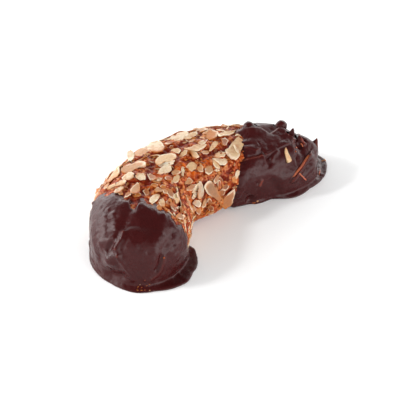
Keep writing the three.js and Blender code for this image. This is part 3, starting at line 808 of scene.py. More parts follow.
def bakeCrust(planes):  # fine relief, pressed in under the flakes
    points = skinPoints
    crags = 1 - 2 * np.abs(bumps(points, paste["crags"][0], 1))
    strands = 1 - 2 * np.abs(bumps(points * [1, 1, 0.6], paste["strands"][0], 4))
    lift = paste["crags"][1] * (crags - paste["sunk"])
    lift += paste["strands"][1] * (strands - paste["sunk"])
    lift += paste["grain"][1] * bumps(points, paste["grain"][0], 2)
    baked = crustPoints + skinNormals * (lift * aboveBase)[:, None]
    pixels = pixelsOf(crustPoints)
    facing = skinNormals @ np.array(camBack) > 0
    ragged = 1 + paste["ragged"][1] * bumps(points, paste["ragged"][0], 5)
    for flake, (middle, face) in zip(flakesSeen, planes):
        outline = np.array(flake["outline"], float)
        outline = lerp(outline.mean(0), outline, flakes["grow"])
        near = facing & (np.linalg.norm(crustPoints - np.array(middle), axis=1) < paste["near"])
        under = near.copy()
        under[near] = insideOutline(pixels[near], outline)
        beside = near.copy()
        beside[near] = insideOutline(pixels[near], lerp(outline.mean(0), outline, paste["beside"]))
        beside &= ~under
        baked[beside] -= skinNormals[beside] * paste["moat"]
        lift[beside] -= paste["moat"]
        inner = insideOutline(pixels[under], lerp(outline.mean(0), outline, paste["inner"]))
        lap = np.where(inner, paste["lap"][0], paste["lap"][1] * ragged[under])
        high = (baked[under] - np.array(middle)) @ np.array(face) + flakes["thickness"] / 2 - lap
        baked[under] -= np.outer(np.maximum(high, 0), np.array(face))
    writePoints(pastePiece.data, baked)
    clear = np.zeros(len(points))
    for spot in ambers:
        away = np.linalg.norm(points - np.array(rayHit(smoothTree, spot["at"])[0]), axis=1)
        clear = np.maximum(clear, hump(away, 0, spot["wide"]))
    # painted shade: hollows, furrows and the moats round flakes are stored darker, crags lighter
    paint(pastePiece.data, "reliefShade", lift + paste["furrowShade"] * trench)
    paint(pastePiece.data, "amber", clear)
    return meshTree(pastePiece.data, baked)


stain = {
    "low": (-0.1, 0.3),  # heights over the crust in mm, between which the glaze fades out
    "usual": (0.15, 1.0),  # least and most glaze that one side of a flake takes up
    "side": (-0.2, 0.9),  # where across the flake that side starts and ends
    "patches": (1.6, 0.5),  # size and unevenness of the wet part
    "face": 0.4,  # how much of it shows on the face, against the edge
    "most": 0.95,
    "cut": 0.85,  # how pale a dry cut edge is, its own pale cut with a painted highlight
    "cutSide": (-0.4, 0.3),  # where across the flake pale edges end
    "shade": (0.88, 1.0),  # no two flakes are quite of one tone
}


def stainedTint(points, edge, tone, draw, soak=None):  # glaze soaks into the low side, cut edges stay pale with a painted highlight
    height = []
    for point in points:
        place, normal, face, distance = pasteTree.find_nearest(Vector(point))
        height.append((Vector(point) - place).dot(normal))
    low = 1 - ease(np.array(height), *stain["low"])
    slope = (points - points.mean(0)) @ draw.normal(0, 1, 3)
    slope = slope / max(np.abs(slope).max(), 1e-6)
    slope = slope + stain["patches"][1] * bumps(points, stain["patches"][0], 6)
    usual = draw.uniform(*stain["usual"])
    wet = ease(slope, *stain["side"]) * (usual if soak is None else soak)
    soaked = stain["face"] * low * edge + wet * lerp(stain["face"], 1, edge)
    soaked = np.clip(soaked, 0, stain["most"])[:, None]
    # painted highlight: one side's cut edge is lightened towards the pale cut tone, partly the almond's own
    # colour
    paleCutSheen = stain["cut"] * edge * (1 - ease(slope, *stain["cutSide"]))
    cut, honey, caramel = [np.array(linear(tones[name]))[None] for name in ("cut", "honey", "caramel")]
    tint = lerp(np.array(linear(tones[tone]))[None] * draw.uniform(*stain["shade"]), cut, paleCutSheen[:, None])
    tint = lerp(tint, honey, np.clip(1.5 * soaked, 0, 1))
    tint = lerp(tint, caramel, np.clip(2 * soaked - 1, 0, 1))
    tint[:, 3] = 1
    return tint


def almondMaterial():
    # blanched almond, sliced by blade and toasted:
    # dry cream faces with faint grain, brown where glaze soaked in
    material, tree, shader = startMaterial("almond, flaked and toasted")
    place = addNode(tree, "ShaderNodeTexCoord").outputs["Object"]
    tint = addNode(tree, "ShaderNodeAttribute", attribute_name="tint").outputs["Color"]
    grain = addNode(tree, "ShaderNodeTexNoise", {"Vector": place, "Scale": 1 / (0.9 * mm), "Detail": 4.0})
    toast = addNode(tree, "ShaderNodeTexNoise", {"Vector": place, "Scale": 1 / (2.2 * mm), "Detail": 3.0})
    shade = addNode(tree, "ShaderNodeMapRange",
                    {"Value": toast.outputs["Fac"], "From Min": 0.48, "From Max": 0.75, "To Max": 0.7})
    dry = addNode(tree, "ShaderNodeMapRange",
                  {"Value": grain.outputs["Fac"], "From Min": 0.3, "From Max": 0.7,
                   "To Min": 0.82, "To Max": 1.06})
    toasted = addNode(tree, "ShaderNodeMix",
                      {0: shade.outputs[0], 6: tint, 7: linear("a5622c")}, data_type="RGBA")
    face = addNode(tree, "ShaderNodeVectorMath",
                   {0: toasted.outputs[2], 1: dry.outputs[0]}, operation="MULTIPLY")
    bump = addNode(tree, "ShaderNodeBump",
                   {"Height": grain.outputs["Fac"], "Strength": 0.25, "Distance": 0.15 * mm})
    tree.links.new(face.outputs[0], shader.inputs["Base Color"])
    tree.links.new(bump.outputs["Normal"], shader.inputs["Normal"])
    shader.inputs["Roughness"].default_value = 0.5
    shader.inputs["IOR"].default_value = 1.47
    shader.inputs["Specular IOR Level"].default_value = 0.3
    shader.inputs["Subsurface Weight"].default_value = 0.3
    shader.inputs["Subsurface Radius"].default_value = (1.0, 0.6, 0.35)
    shader.inputs["Subsurface Scale"].default_value = 0.8 * mm
    return material


class Heap:  # gathers many small shapes for one joined mesh
    def __init__(self):
        self.points, self.faces, self.tints, self.count = [], [], [], 0

    def add(self, points, faces, tint=None):
        points[:, 2] = np.maximum(points[:, 2], 0)  # nothing reaches under the soles
        self.points.append(points)
        self.tints.append(tint)
        self.faces += [[int(k) + self.count for k in face] for face in faces]
        self.count += len(points)

    def piece(self, name, material, smooth=True):
        made = makePiece(name, np.concatenate(self.points), self.faces, material, smooth)
        if self.tints[0] is not None:
            paint(made.data, "tint", np.concatenate(self.tints))
        return made


draw = np.random.default_rng(flakes["seed"])
planes = [flakePlane(draw, crustTree, flake) for flake in flakesSeen]
pasteTree = bakeCrust(planes)
print("baked paste:", len(pastePiece.data.polygons), "faces")
taken = []  # places and lengths of the flakes laid so far
flakeHeap = Heap()
for flake, (middle, face) in zip(flakesSeen, planes):
    outline = np.array(flake["outline"], float)
    outline = lerp(outline.mean(0), outline, flakes["grow"])
    rim = planeHits(softRim(draw, outline), middle, face)
    points, faces, edge = flakeBody(draw, rim, np.array(face), flakes["thickness"])
    flakeHeap.add(points, faces, stainedTint(points, edge, flake["tone"], draw, flake.get("soak")))
    taken.append((middle, 2 * np.linalg.norm(rim - rim.mean(0), axis=1).mean()))


# chocolate rims, from the photograph where they show

dips = {
    "chocolate_blunt_end": {
        "end": -1,
        "rim": {"outer": 33.5, "inner": 51.5},  # along the spine from the middle of the bend
        "rimRun": 2.5,  # how much further the coat starts, hidden under the crust
        "spread": {"outer": 4.0, "inner": 12.0},  # how much nearer to the middle the rim is at the floor
        # pixels along the rim
        "rimSeen": [(100, 195), (104, 194), (108, 193), (112, 192), (117, 193), (120, 197), (123, 199),
                    (127, 199), (130, 197), (132, 205), (136, 207), (139, 202), (145, 200), (149, 204),
                    (155, 206), (160, 210), (164, 208), (168, 213), (172, 217), (175, 222), (181, 223),
                    (184, 229), (187, 236)],
        "foot": (0.8, 0.9, 1.0, 2.0, 3.5, 3.1, 4.8, 6.0, 4.4),  # the pool's run, outer side to inner side
        "poolStart": 0.0,  # share of the leg where the pool starts
        "tuck": (0.3, 0.1, 0.0, 0.0, 0.1, 0.2, 0.5, 0.8, 0.8),  # how far the coat draws in above the pool
        "edge": {"along": (-60, 0), "run": (0, 0)},  # waves of the edge on the inner side
        "seed": 11,
    },
    "chocolate_slim_end": {
        "end": 1,
        "rim": {"outer": 38.0, "inner": 23.5},
        "rimRun": 2.4,
        "spread": {"outer": 4.0, "inner": 4.0},
        "rimSeen": [(246, 128), (243, 132), (243, 140), (245, 147), (241, 150), (241, 155), (246, 158),
                    (244, 161), (242, 165), (242, 169), (239, 173), (238, 180), (236, 188), (234, 196)],
        "foot": (3.0, 5.0, 7.4, 7.4, 5.0, 3.2, 2.2, 1.5, 2.8),
        "poolStart": 0.6,
        "tuck": (0.6, 0.7, 0.8, 0.8, 0.6, 0.5, 0.4, 0.3, 0.3),
        "edge": {"along": (16, 20, 29, 34, 40, 44, 50, 54),
                 "run": (-1.5, -1.5, -1.3, 0.2, 0.2, -1.3, -0.5, 0)},
        "seed": 23,
    },
}
rimWave = {
    "size": 5.0,  # mm, as the next three
    "height": 1.1,
    "toothSize": 1.7,
    "toothHeight": 1.8,
    "rowLength": 25,  # mm round the horn for one rib row
    "beyond": 0.25,  # rows past the seen rim, over which it turns into the plain one
    "fade": 0.1,  # rows past that, where the plain one's waves are full
}


def plainRim(dip, side, row):
    across = (side * ribProfile(row)[0] + 1) / 2
    slant = lerp(dip["rim"]["inner"], dip["rim"]["outer"], across)
    spread = dip["spread"]["outer" if side > 0 else "inner"]
    return dip["end"] * (slant - spread * ease(row, 1, 2))


surfaceGrid = [np.linspace(-60, 60, 481), np.linspace(0.005, 1.9, 220)]  # along the spine, down the side
surfaceAlong, surfaceRow = np.meshgrid(*surfaceGrid, indexing="ij")
surfaceSides = {side: ribPoints(*legRib(surfaceAlong, side), surfaceRow) for side in (1, -1)}


def surfacePlace(point):  # along, side and row of a point on the horn
    found = []
    for side, points in surfaceSides.items():
        gap = np.linalg.norm(points - np.array(point), axis=-1)
        k = np.unravel_index(np.argmin(gap), gap.shape)
        found.append((gap[k], surfaceAlong[k], side, surfaceRow[k]))
    return min(found)[1:]


for dip in dips.values():
    around, shift = [], []
    for pixel in dip["rimSeen"]:
        along, side, row = surfacePlace(rayHit(smoothTree, pixel)[0])
        around.append(side * row)
        shift.append(along - float(plainRim(dip, side, np.array(row))))
    order = np.argsort(around)
    low, high = min(around) - rimWave["beyond"], max(around) + rimWave["beyond"]
    shift = np.array(shift)[order]
    dip["around"] = np.concatenate([[low], np.array(around)[order], [high]])
    dip["shift"] = np.concatenate([shift[:1], shift, [0]])  # held on the inner side


def rimAlong(dip, side, row):
    around = side * row
    seenLow = ease(around, dip["around"][0] - rimWave["fade"], dip["around"][1])
    seenHigh = 1 - ease(around, dip["around"][-2], dip["around"][-1] + rimWave["fade"])
    flat = np.stack([around.ravel() * rimWave["rowLength"], 0 * around.ravel(), 0 * around.ravel()], -1)
    swing = rimWave["height"] * bumps(flat, rimWave["size"], dip["seed"]).reshape(around.shape)
    teeth = bumps(flat, rimWave["toothSize"], dip["seed"] + 1).reshape(around.shape)
    teeth = rimWave["toothHeight"] * teeth
    measured = np.interp(around, dip["around"], dip["shift"])
    return plainRim(dip, side, row) + measured + teeth + swing * (1 - seenLow * seenHigh)


print("rims placed")


# almonds that the photograph doesn't show one by one

scatter = {
    "count": 300,
    "longest": 10.5,
    "shortest": 3.0,
    "longestSeen": 5.0,  # where the photograph shows the paste, only a few small ones fill in
    "shareSeen": 0.22,
    "corners": 16,
    "highest": 0.02,  # rib row, as the next
    "lowest": 1.55,
    "room": 1.5,  # for flakes furthest out in the bend, over that on the spine
    "width": (0.5, 0.75),  # over the length
    "spacing": 0.5,
    "tries": 60,
    "tilt": 12,
    "rimGap": 1.0,
    "facing": 0.1,  # a face that turns less to the camera counts as unseen
    "tones": ("ivory", "ivory", "cream", "cream", "blush", "honey"),
    "tonesSeen": ("honey", "caramel", "blush"),
}
shards = {
    "name": "almond_splinters",
    "count": 1100,
    "longest": 3.4,
    "shortest": 0.8,
    "width": (0.2, 0.5),  # over the length
    "thickness": 0.35,
    "corners": 7,
    "tilt": 30,
    "tones": ("toast", "toast", "caramel", "caramel", "honey", "honey", "blush"),
    "sliver": 0.7,  # thickness of the slivers seen on edge
}


def drawPlace():  # a place on the paste, its normal, and how far it is from the chocolate
    while True:
        side = 1 if draw.random() < 0.5 else -1
        row = np.array(draw.uniform(scatter["highest"], scatter["lowest"]))
        start = rimAlong(dips["chocolate_blunt_end"], side, row)
        stop = rimAlong(dips["chocolate_slim_end"], side, row)
        along = np.array(draw.uniform(start, stop))
        across = side * ribProfile(row)[0] * halfWidth(along, side) / horn["bendRadius"]
        if draw.random() < (1 + across) / scatter["room"]:  # the inside of the bend has less room
            break
    spot = ribPoints(*legRib(along, side), row)
    place = pasteTree.find_nearest(Vector(spot))[0]
    normal = crustTree.find_nearest(Vector(spot))[1]
    return place, normal, min(along - start, stop - along)


def isSeen(place, normal):
    if normal.dot(camBack) < scatter["facing"]:
        return False
    hit = pasteTree.ray_cast(camEye, (place - camEye).normalized())[0]
    return hit is not None and (hit - place).length < 2  # mm


def looseFlake(place, normal, length, width, thickness, corners, tilt):
    flat = chippedOutline(draw, length, width, corners)
    run = Vector(draw.normal(0, 1, 3))
    face = tilted(normal, run, draw.uniform(-tilt, tilt))
    run = (run - face * run.dot(face)).normalized()
    rim = np.array(place) + flat @ np.array([run, face.cross(run)])
    return flakeBody(draw, rim, np.array(face), thickness)


def scatterFlakes(heap):
    for k in range(scatter["count"]):
        length = lerp(scatter["longest"], scatter["shortest"], math.sqrt(k / scatter["count"]))
        for attempt in range(scatter["tries"]):
            place, normal, gap = drawPlace()
            share = scatter["spacing"] / 2
            free = all((place - other).length > share * (length + size) for other, size in taken)
            seen = isSeen(place, normal)
            if gap < scatter["rimGap"] or not free or (seen and length > scatter["longestSeen"]):
                continue
            if seen and draw.random() > scatter["shareSeen"]:
                break
            width = length * draw.uniform(*scatter["width"])
            lifted = place + normal * flakes["raise"]
            points, faces, edge = looseFlake(lifted, normal, length, width, flakes["thickness"],
                                             scatter["corners"], scatter["tilt"])
            choice = scatter["tonesSeen" if seen else "tones"]
            heap.add(points, faces, stainedTint(points, edge, choice[draw.integers(len(choice))], draw))
            taken.append((place, length))
            break


def scatterShards(heap):  # splinters of almond baked into the glaze
    for k in range(shards["count"]):
        place, normal, gap = drawPlace()
        length = draw.uniform(shards["shortest"], shards["longest"])
        width = length * draw.uniform(*shards["width"])
        points, faces, edge = looseFlake(place, normal, length, width, shards["thickness"],
                                         shards["corners"], shards["tilt"])
        tone = shards["tones"][draw.integers(len(shards["tones"]))]
        heap.add(points, faces, stainedTint(points, 0 * edge, tone, draw))


almondFinish = almondMaterial()
scatterFlakes(flakeHeap)
flakePiece = flakeHeap.piece(flakes["name"], almondFinish, False)  # cut edges are crisp
print("flaked almonds:", len(taken), "flakes,", len(flakePiece.data.polygons), "faces")
shardHeap = Heap()
scatterShards(shardHeap)
for sliver in sliversSeen:
    points, faces = stripBody(pasteTree, sliver["line"], sliver["wide"], shards["sliver"])
    shardHeap.add(points, faces, np.tile(linear(tones[sliver["tone"]]), (len(points), 1)))
shardPiece = shardHeap.piece(shards["name"], almondFinish, False)
print("almond splinters:", len(shardPiece.data.polygons), "faces")


# chocolate dips

coat = {
    "thickness": 1.3,
    "rimThickness": -0.6,  # under the crust, so that the rim is as ragged as the crust
    "rimTaper": 7.0,
    "pool": 1.1,  # thickness of the set pool
    "legColumns": 60,
    "tipColumns": 60,
    "rows": (70, 34, 10),
    "voxel": 0.36,
    "smoothing": (3, 0.55),  # steps and strength
    "lastSmoothing": 0.5,
    "crestSmoothing": (2, 0.5),
    "covered": 40,  # almonds under each coat where the photograph doesn't show it
    "coveredLength": (4.5, 10),
    "coveredThickness": 1.2,
    "coveredDepth": 0.2,  # of their middles under the surface
    "coveredTilt": 16,
    "coveredRows": (0.05, 1.35),  # rib rows between which they lie
    "coveredFrom": 0.12,  # share of the way from the rim to the tip
    "turnedAway": -0.2,  # a face that turns more to the camera than this has none
    "standThickness": 1.3,
    "standClear": (0.5, 1.4),  # mm above the coat, between which the marks below fade out
    "stepEdge": 0.35,  # half the width of a step's slope
    "redWidth": 0.55,
    "lumps": (4.5, 0.3),  # size and height in mm, as the next two
    "knobs": (2.6, 0.17),
    "pimples": (1.4, 0.1),
    "thinCrest": (0.02, 0.06, 0.25),  # crests from and to which the coat gets redder, and how much
}
# almonds that stand up in the chocolate, in the picture's plane: pixels of the foot and round the almond,
# or the middle of a round lump and its radius in mm
standing = {
    "chocolate_blunt_end": [],
    "chocolate_slim_end": [
        {"foot": (281, 130), "ball": (281.3, 125.6), "radius": 2.75},
        {"foot": (279, 130), "ball": (278.5, 126.6), "radius": 2.0},
        {"foot": (248, 129), "ball": (248.4, 127), "radius": 2.7},
        {"foot": (291, 139),
         "outline": [(286.3, 136.5), (288.8, 131.5), (291.3, 129), (293.5, 127.4), (294.5, 130.6),
                     (294.8, 135), (293.8, 141), (289, 142)]},
        {"foot": (315, 149),
         "outline": [(310.5, 142), (313.5, 140), (317.2, 137.4), (318.1, 141), (318.2, 149),
                     (315.5, 152), (311, 150)]},
        {"foot": (300, 145),
         "outline": [(296.5, 146), (297.3, 138), (299, 134.2), (301, 136), (303.5, 140), (305, 143.5),
                     (303, 148)]},
    ],
}
# the forms that the photograph shows in the chocolate: sizes and heights in mm, pixels along each
# a step is higher on the right hand of its line, red is how much the coat's own red shows
strokes = {
    "chocolate_blunt_end": [
        {"size": 2.0, "lift": -0.45, "line": [(133, 204), (129, 212), (124, 222), (120, 232)]},
        {"size": 1.8, "lift": 0.25, "line": [(126, 203), (121, 213), (116, 226)]},
        {"size": 3.0, "lift": 0.25, "line": [(141, 206), (137, 218), (133, 232), (129, 246)]},
        {"size": 2.0, "lift": 0.4, "line": [(165, 216), (160, 232), (156, 248), (152, 262)]},
        {"size": 1.5, "lift": 0.55, "line": [(113, 214)]},
        {"size": 1.6, "lift": 0.5, "line": [(104, 228)]},
        {"size": 1.1, "lift": 0.35, "line": [(104, 216)]},
        {"size": 1.0, "lift": 0.3, "line": [(108, 209)]},
        {"size": 1.0, "lift": 0.3, "line": [(101, 207)]},
        {"size": 1.2, "lift": -0.35, "line": [(110, 221)]},
        {"size": 1.0, "lift": 0.3, "line": [(97, 231), (104, 224), (115, 221)]},
        {"size": 2.0, "lift": 0.8, "line": [(101, 242), (105, 240), (110, 240)]},
        {"size": 1.4, "lift": 1.2, "line": [(123.5, 233), (122, 239), (118.5, 244), (116.5, 247)]},
        {"size": 1.4, "lift": 0.9, "line": [(118, 250), (119, 254)]},
        {"size": 1.5, "lift": -1.2, "line": [(112, 244), (109, 250)]},
        {"size": 3.8, "lift": 2.0, "line": [(111, 260)]},
        {"size": 2.6, "lift": -0.7, "line": [(100, 257)]},
        {"size": 2.2, "lift": -1.5, "line": [(111, 275), (121, 276)]},
        {"size": 1.5, "lift": 1.0, "line": [(119, 256), (125, 265), (129, 271), (133, 278)]},
        {"size": 6.0, "lift": 0.4, "line": [(137, 268)]},
        {"size": 3.0, "lift": 0.7, "line": [(88.5, 243)]},
        {"size": 1.1, "lift": 1.0, "line": [(92, 203)]},
        {"size": 1.3, "lift": 0.45, "line": [(172, 222), (176, 229), (181, 236)]},
        {"size": 1.8, "lift": -0.5, "line": [(163, 250), (170, 240), (172, 233)]},
        {"size": 1.0, "lift": -0.5, "line": [(174, 244)]},
        {"size": 0.9, "lift": -0.45, "line": [(172, 249)]},
        {"size": 2.2, "lift": 0.4, "line": [(177, 256)]},
        {"size": 0.9, "lift": -0.9, "line": [(161, 257), (160, 263), (157, 270)]},
        {"size": 0.9, "lift": 0.6, "red": 0.08,
         "line": [(164, 257), (163, 263), (161, 270), (157, 275), (151, 279)]},
        {"size": 1.0, "lift": 0.3, "line": [(139, 270), (142, 276), (146, 280)]},
    ],
    "chocolate_slim_end": [
        {"size": 4.5, "lift": 1.8,
         "line": [(251, 128), (262, 127.5), (270, 127.5), (283, 129), (290, 134)]},
        {"size": 3.5, "lift": 1.8, "line": [(297, 139), (304, 141), (312, 146)]},
        {"step": 1.1, "fade": 7.0, "red": 0.35,
         "line": [(246, 131), (254, 131), (260, 131), (265, 133), (269, 135), (274, 133), (278, 131),
                  (281.5, 131), (284, 134), (288, 137.5), (292, 141), (293, 146)]},
        {"step": 0.7, "fade": 4.0,
         "line": [(285, 147), (279, 149), (274, 152), (270, 155), (266, 157), (263, 153), (261, 149),
                  (256, 152), (250, 149), (243, 148)]},
        {"step": 0.7, "fade": 4.0, "red": 0.6,
         "line": [(244, 161), (246, 160), (252, 158), (258, 157), (262, 155.5)]},
        {"size": 0.9, "lift": -0.6, "line": [(250, 157), (256, 155.5), (261, 153)]},
        {"size": 1.4, "lift": 0.5, "line": [(258, 152)]},
        {"size": 0.9, "lift": 0.5, "line": [(262, 156), (264, 160), (266, 164)]},
        {"size": 1.3, "lift": -0.8, "line": [(267, 158), (268.5, 164)]},
        {"size": 1.0, "lift": 0.7, "line": [(271, 160), (274, 155), (277, 152)]},
        {"size": 5.0, "lift": 0.6, "line": [(278, 165)]},
        {"size": 3.0, "lift": -1.0, "line": [(284, 170), (288, 166), (294, 160)]},
        {"step": 1.7, "fade": 2.6, "line": [(293, 177), (297, 171), (303, 163), (308, 155)]},
        {"size": 1.6, "lift": -0.8, "line": [(301, 178), (306, 170), (311, 162)]},
        {"size": 0.8, "lift": -0.8, "line": [(310, 161.5), (308, 164), (307, 167)]},
        {"size": 3.0, "lift": 0.8, "line": [(313, 168)]},
        {"size": 1.0, "lift": 0.6, "line": [(318, 152), (318, 160), (319, 166), (320, 173)]},
        {"size": 1.6, "lift": -0.5, "line": [(321, 158), (322, 168), (320, 178)]},
        {"size": 0.9, "lift": -0.7, "line": [(258, 183)]},
        {"size": 0.7, "lift": 0.4, "red": 0.6, "line": [(260, 185), (262, 181)]},
        {"size": 2.0, "lift": -0.8, "line": [(271, 180), (274, 186), (277, 190)]},
        {"size": 2.2, "lift": -0.4, "line": [(279, 183)]},
        {"size": 2.0, "lift": -1.5, "line": [(250, 199.5)]},
        {"size": 6.0, "lift": 0.5, "line": [(253, 173)]},
        {"size": 1.0, "lift": 0.25, "line": [(247, 182), (248, 174), (253, 167)]},
        {"size": 1.4, "lift": -0.8, "line": [(297, 136), (298, 141), (299, 147)]},
        {"size": 0.8, "lift": 0.6, "red": 0.8, "line": [(299, 134), (302, 139), (304, 142.5)]},
        {"size": 0.8, "lift": 0.0, "red": 0.5, "line": [(317, 138), (317, 147)]},
        {"size": 3.0, "lift": 0.4, "line": [(287, 186), (296, 184)]},
    ],
}


def coatRibs(dip):  # columns from the rim on the outer side, round the tip, to the rim on the inner side
    rows = rowList(*coat["rows"])
    pole = poleAlong(dip["end"])
    share = np.linspace(0, 1, coat["legColumns"], endpoint=False)
    angle = np.linspace(1, -1, coat["tipColumns"] + 1)
    parts = []
    for side in (1, -1):
        rim = rimAlong(dip, side, rows)[None] - dip["end"] * dip["rimRun"]
        along = lerp(rim, pole, share[:, None])
        extra = np.interp(along, dip["edge"]["along"], dip["edge"]["run"]) * (side < 0)
        leg = [*legRib(along, side), np.abs(pole - rim) * share[:, None], side + 0 * along,
               share[:, None] + 0 * along, extra]
        parts.append(leg if side > 0 else [part[::-1] for part in leg])
    spread = np.ones((len(angle), len(rows)))
    farOff = 2 * coat["rimTaper"] * spread  # round the tip the coat has its full thickness
    stand, reach, height = tipRib(dip["end"], angle)
    tip = [stand[:, None] * spread[..., None], reach[:, None] * spread[..., None], height[:, None] * spread,
           farOff, angle[:, None] * spread, spread, 0 * spread]
    parts.insert(1, tip)
    return rows, [np.concatenate(part) for part in zip(*parts)]


def coatCore(dip):  # the dipped end with its coat and set pool, as a closed lump
    rows, (stand, reach, height, fromRim, angle, share, extra) = coatRibs(dip)
    columns, count = height.shape
    row = rows[None] + 0 * height
    faces = gridFaces(columns, count, False)
    if dip["end"] < 0:
        faces = faces[:, ::-1]
    body = ribPoints(stand, reach, height, row)
    mesh = bpy.data.meshes.new("core")
    mesh.from_pydata(body.reshape(-1, 3).tolist(), [], faces.tolist())
    normals = readNormals(mesh).reshape(body.shape)
    bpy.data.meshes.remove(mesh)
    thick = lerp(coat["rimThickness"], coat["thickness"], ease(fromRim, 0, coat["rimTaper"]))
    upper = body + normals * thick[..., None]

    stations = np.linspace(1, -1, len(dip["foot"]))
    run = np.interp(-angle, -stations, dip["foot"]) * ease(share, dip["poolStart"], 1) + extra
    tuck = np.interp(-angle, -stations, dip["tuck"])
    size = np.linalg.norm(reach, axis=-1)
    wide = size + thick
    side = horn["floor"] + horn["side"] * height
    pool = coat["pool"]
    curtain = [  # share of the way down, distance from the stand, height
        (0.0, wide, side),
        (0.3, wide + 0.1 * run * (1 - tuck) - 0.04 * size * tuck, 0.55 * side),
        (0.5, wide + 0.25 * run * (1 - tuck) - 0.1 * size * tuck, pool * lerp(2.2, 1.25, tuck)),
        (0.65, wide + run * lerp(0.6, 0.2, tuck), pool * lerp(1.3, 1.02, tuck)),
        (0.82, wide + run - np.clip(0.3 * run, 0, 0.9), 0.95 * pool + 0 * run),
        (0.93, wide + run, 0.45 * pool + 0 * run),
        (1.0, wide + run - 0.25, 0 * run),
    ]
    down = np.clip(row - 1, 0, 1)
    out = np.array(curtain[0][1])
    up = np.array(curtain[0][2])
    for (t0, out0, up0), (t1, out1, up1) in zip(curtain[:-1], curtain[1:]):
        t = np.clip((down - t0) / (t1 - t0), 0, 1)
        out = np.where(down >= t0, lerp(out0, out1, t), out)
        up = np.where(down >= t0, lerp(up0, up1, t), up)
    profileOut, profileUp = ribProfile(np.minimum(row, 2))
    nearRim = ease(share, 0, 0.3)  # by its rim the coat hugs the body
    out = lerp(size * profileOut + thick, out, nearRim)
    up = lerp(np.maximum(horn["floor"] + height * profileUp - thick * down * 1.2, 0), up, nearRim)
    out = out * np.clip(3 - row, 0, 1)
    up = up * np.clip(3 - row, 0, 1)  # both halves of the sole meet on the floor
    unit = reach / size[..., None]
    lower = np.concatenate([stand + unit * out[..., None], up[..., None]], -1)
    outer = np.where((row <= 1)[..., None], upper, lower).reshape(-1, 3)
    outer[:, 2] = np.maximum(outer[:, 2], 0)
    mouth = list(range(count)) + [columns * count - 1 - r for r in range(count)]
    hub = np.mean(outer[mouth], axis=0)
    closing = [[mouth[k], mouth[k - 1], len(outer)] for k in range(len(mouth))]
    if dip["end"] < 0:
        closing = [face[::-1] for face in closing]
    return np.concatenate([outer, hub[None]]), faces.tolist() + closing


def chocolateMaterial():
    # dark chocolate, melted and set in air: deep red-brown with a soft satin gloss, redder where it is thin
    material, tree, shader = startMaterial("dark chocolate, dipped and set")
    place = addNode(tree, "ShaderNodeTexCoord").outputs["Object"]
    thin = addNode(tree, "ShaderNodeAttribute", attribute_name="thin").outputs["Fac"]
    cloud = addNode(tree, "ShaderNodeTexNoise", {"Vector": place, "Scale": 1 / (7.0 * mm), "Detail": 3.0})
    fine = addNode(tree, "ShaderNodeTexNoise", {"Vector": place, "Scale": 1 / (0.7 * mm), "Detail": 4.0})
    body = addNode(tree, "ShaderNodeMix",
                   {0: cloud.outputs["Fac"], 6: linear("300b0b"), 7: linear("3b1010")}, data_type="RGBA")
    red = addNode(tree, "ShaderNodeMix",
                  {0: thin, 6: body.outputs[2], 7: linear("7c3526")}, data_type="RGBA")
    satin = addNode(tree, "ShaderNodeMapRange",
                    {"Value": cloud.outputs["Fac"], "From Min": 0.3, "From Max": 0.7,
                     "To Min": 0.2, "To Max": 0.32})
    bump = addNode(tree, "ShaderNodeBump",
                   {"Height": fine.outputs["Fac"], "Strength": 0.7, "Distance": 0.2 * mm})
    tree.links.new(red.outputs[2], shader.inputs["Base Color"])
    tree.links.new(satin.outputs[0], shader.inputs["Roughness"])
    tree.links.new(bump.outputs["Normal"], shader.inputs["Normal"])
    shader.inputs["IOR"].default_value = 1.45
    shader.inputs["Specular IOR Level"].default_value = 0.22
    return material


def coveredPlace(dip):  # a place under the coat, anywhere from its rim to its tip
    end = dip["end"]
    side = 1 if draw.random() < 0.5 else -1
    row = np.array(draw.uniform(*coat["coveredRows"]))
    if draw.random() < 0.5:
        spot = ribPoints(*tipRib(end, np.array(draw.uniform(-1, 1))), row)
    else:
        along = lerp(rimAlong(dip, side, row), poleAlong(end), draw.uniform(coat["coveredFrom"], 1))
        spot = ribPoints(*legRib(np.array(along), side), row)
    place, normal, face, distance = smoothTree.find_nearest(Vector(spot))
    return place, normal


def ballBody(centre, radius, columns=14, rows=9):
    turns = np.arange(columns) / columns * 2 * math.pi
    turns, drops = np.meshgrid(turns, np.linspace(0, math.pi, rows), indexing="ij")
    ball = np.stack([np.sin(drops) * np.cos(turns), np.sin(drops) * np.sin(turns), np.cos(drops)], -1)
    return weld(centre + radius * ball.reshape(-1, 3), gridFaces(columns, rows, True)[:, ::-1])


def sculpt(points, tree, marks):  # lifts along the normals, and how red the thin edges are
    pixels = pixelsOf(points)
    lift = np.zeros(len(points))
    red = np.zeros(len(points))
    for mark in marks:
        line = np.array([rayHit(tree, pixel)[0] for pixel in mark["line"]])
        away = lineDistance(points, line)
        if "step" in mark:
            drawn = np.array(mark["line"], float)
            hand = np.zeros(len(points))
            best = np.full(len(points), np.inf)
            for a, b in zip(drawn[:-1], drawn[1:]):
                t = np.clip((pixels - a) @ (b - a) / ((b - a) @ (b - a)), 0, 1)
                offset = pixels - a - t[:, None] * (b - a)
                gap = np.linalg.norm(offset, axis=1)
                turned = (b - a)[0] * offset[:, 1] - (b - a)[1] * offset[:, 0]
                hand = np.where(gap < best, np.sign(turned), hand)
                best = np.minimum(best, gap)
            slope = ease(hand * best / photo["scale"], -coat["stepEdge"], coat["stepEdge"])
            lift += mark["step"] * slope * hump(away, 0, mark["fade"])
        else:
            lift += mark["lift"] * hump(away, 0, mark["size"])
        if "red" in mark:
            red = np.maximum(red, mark["red"] * hump(away, 0, coat["redWidth"]))
    return lift, red


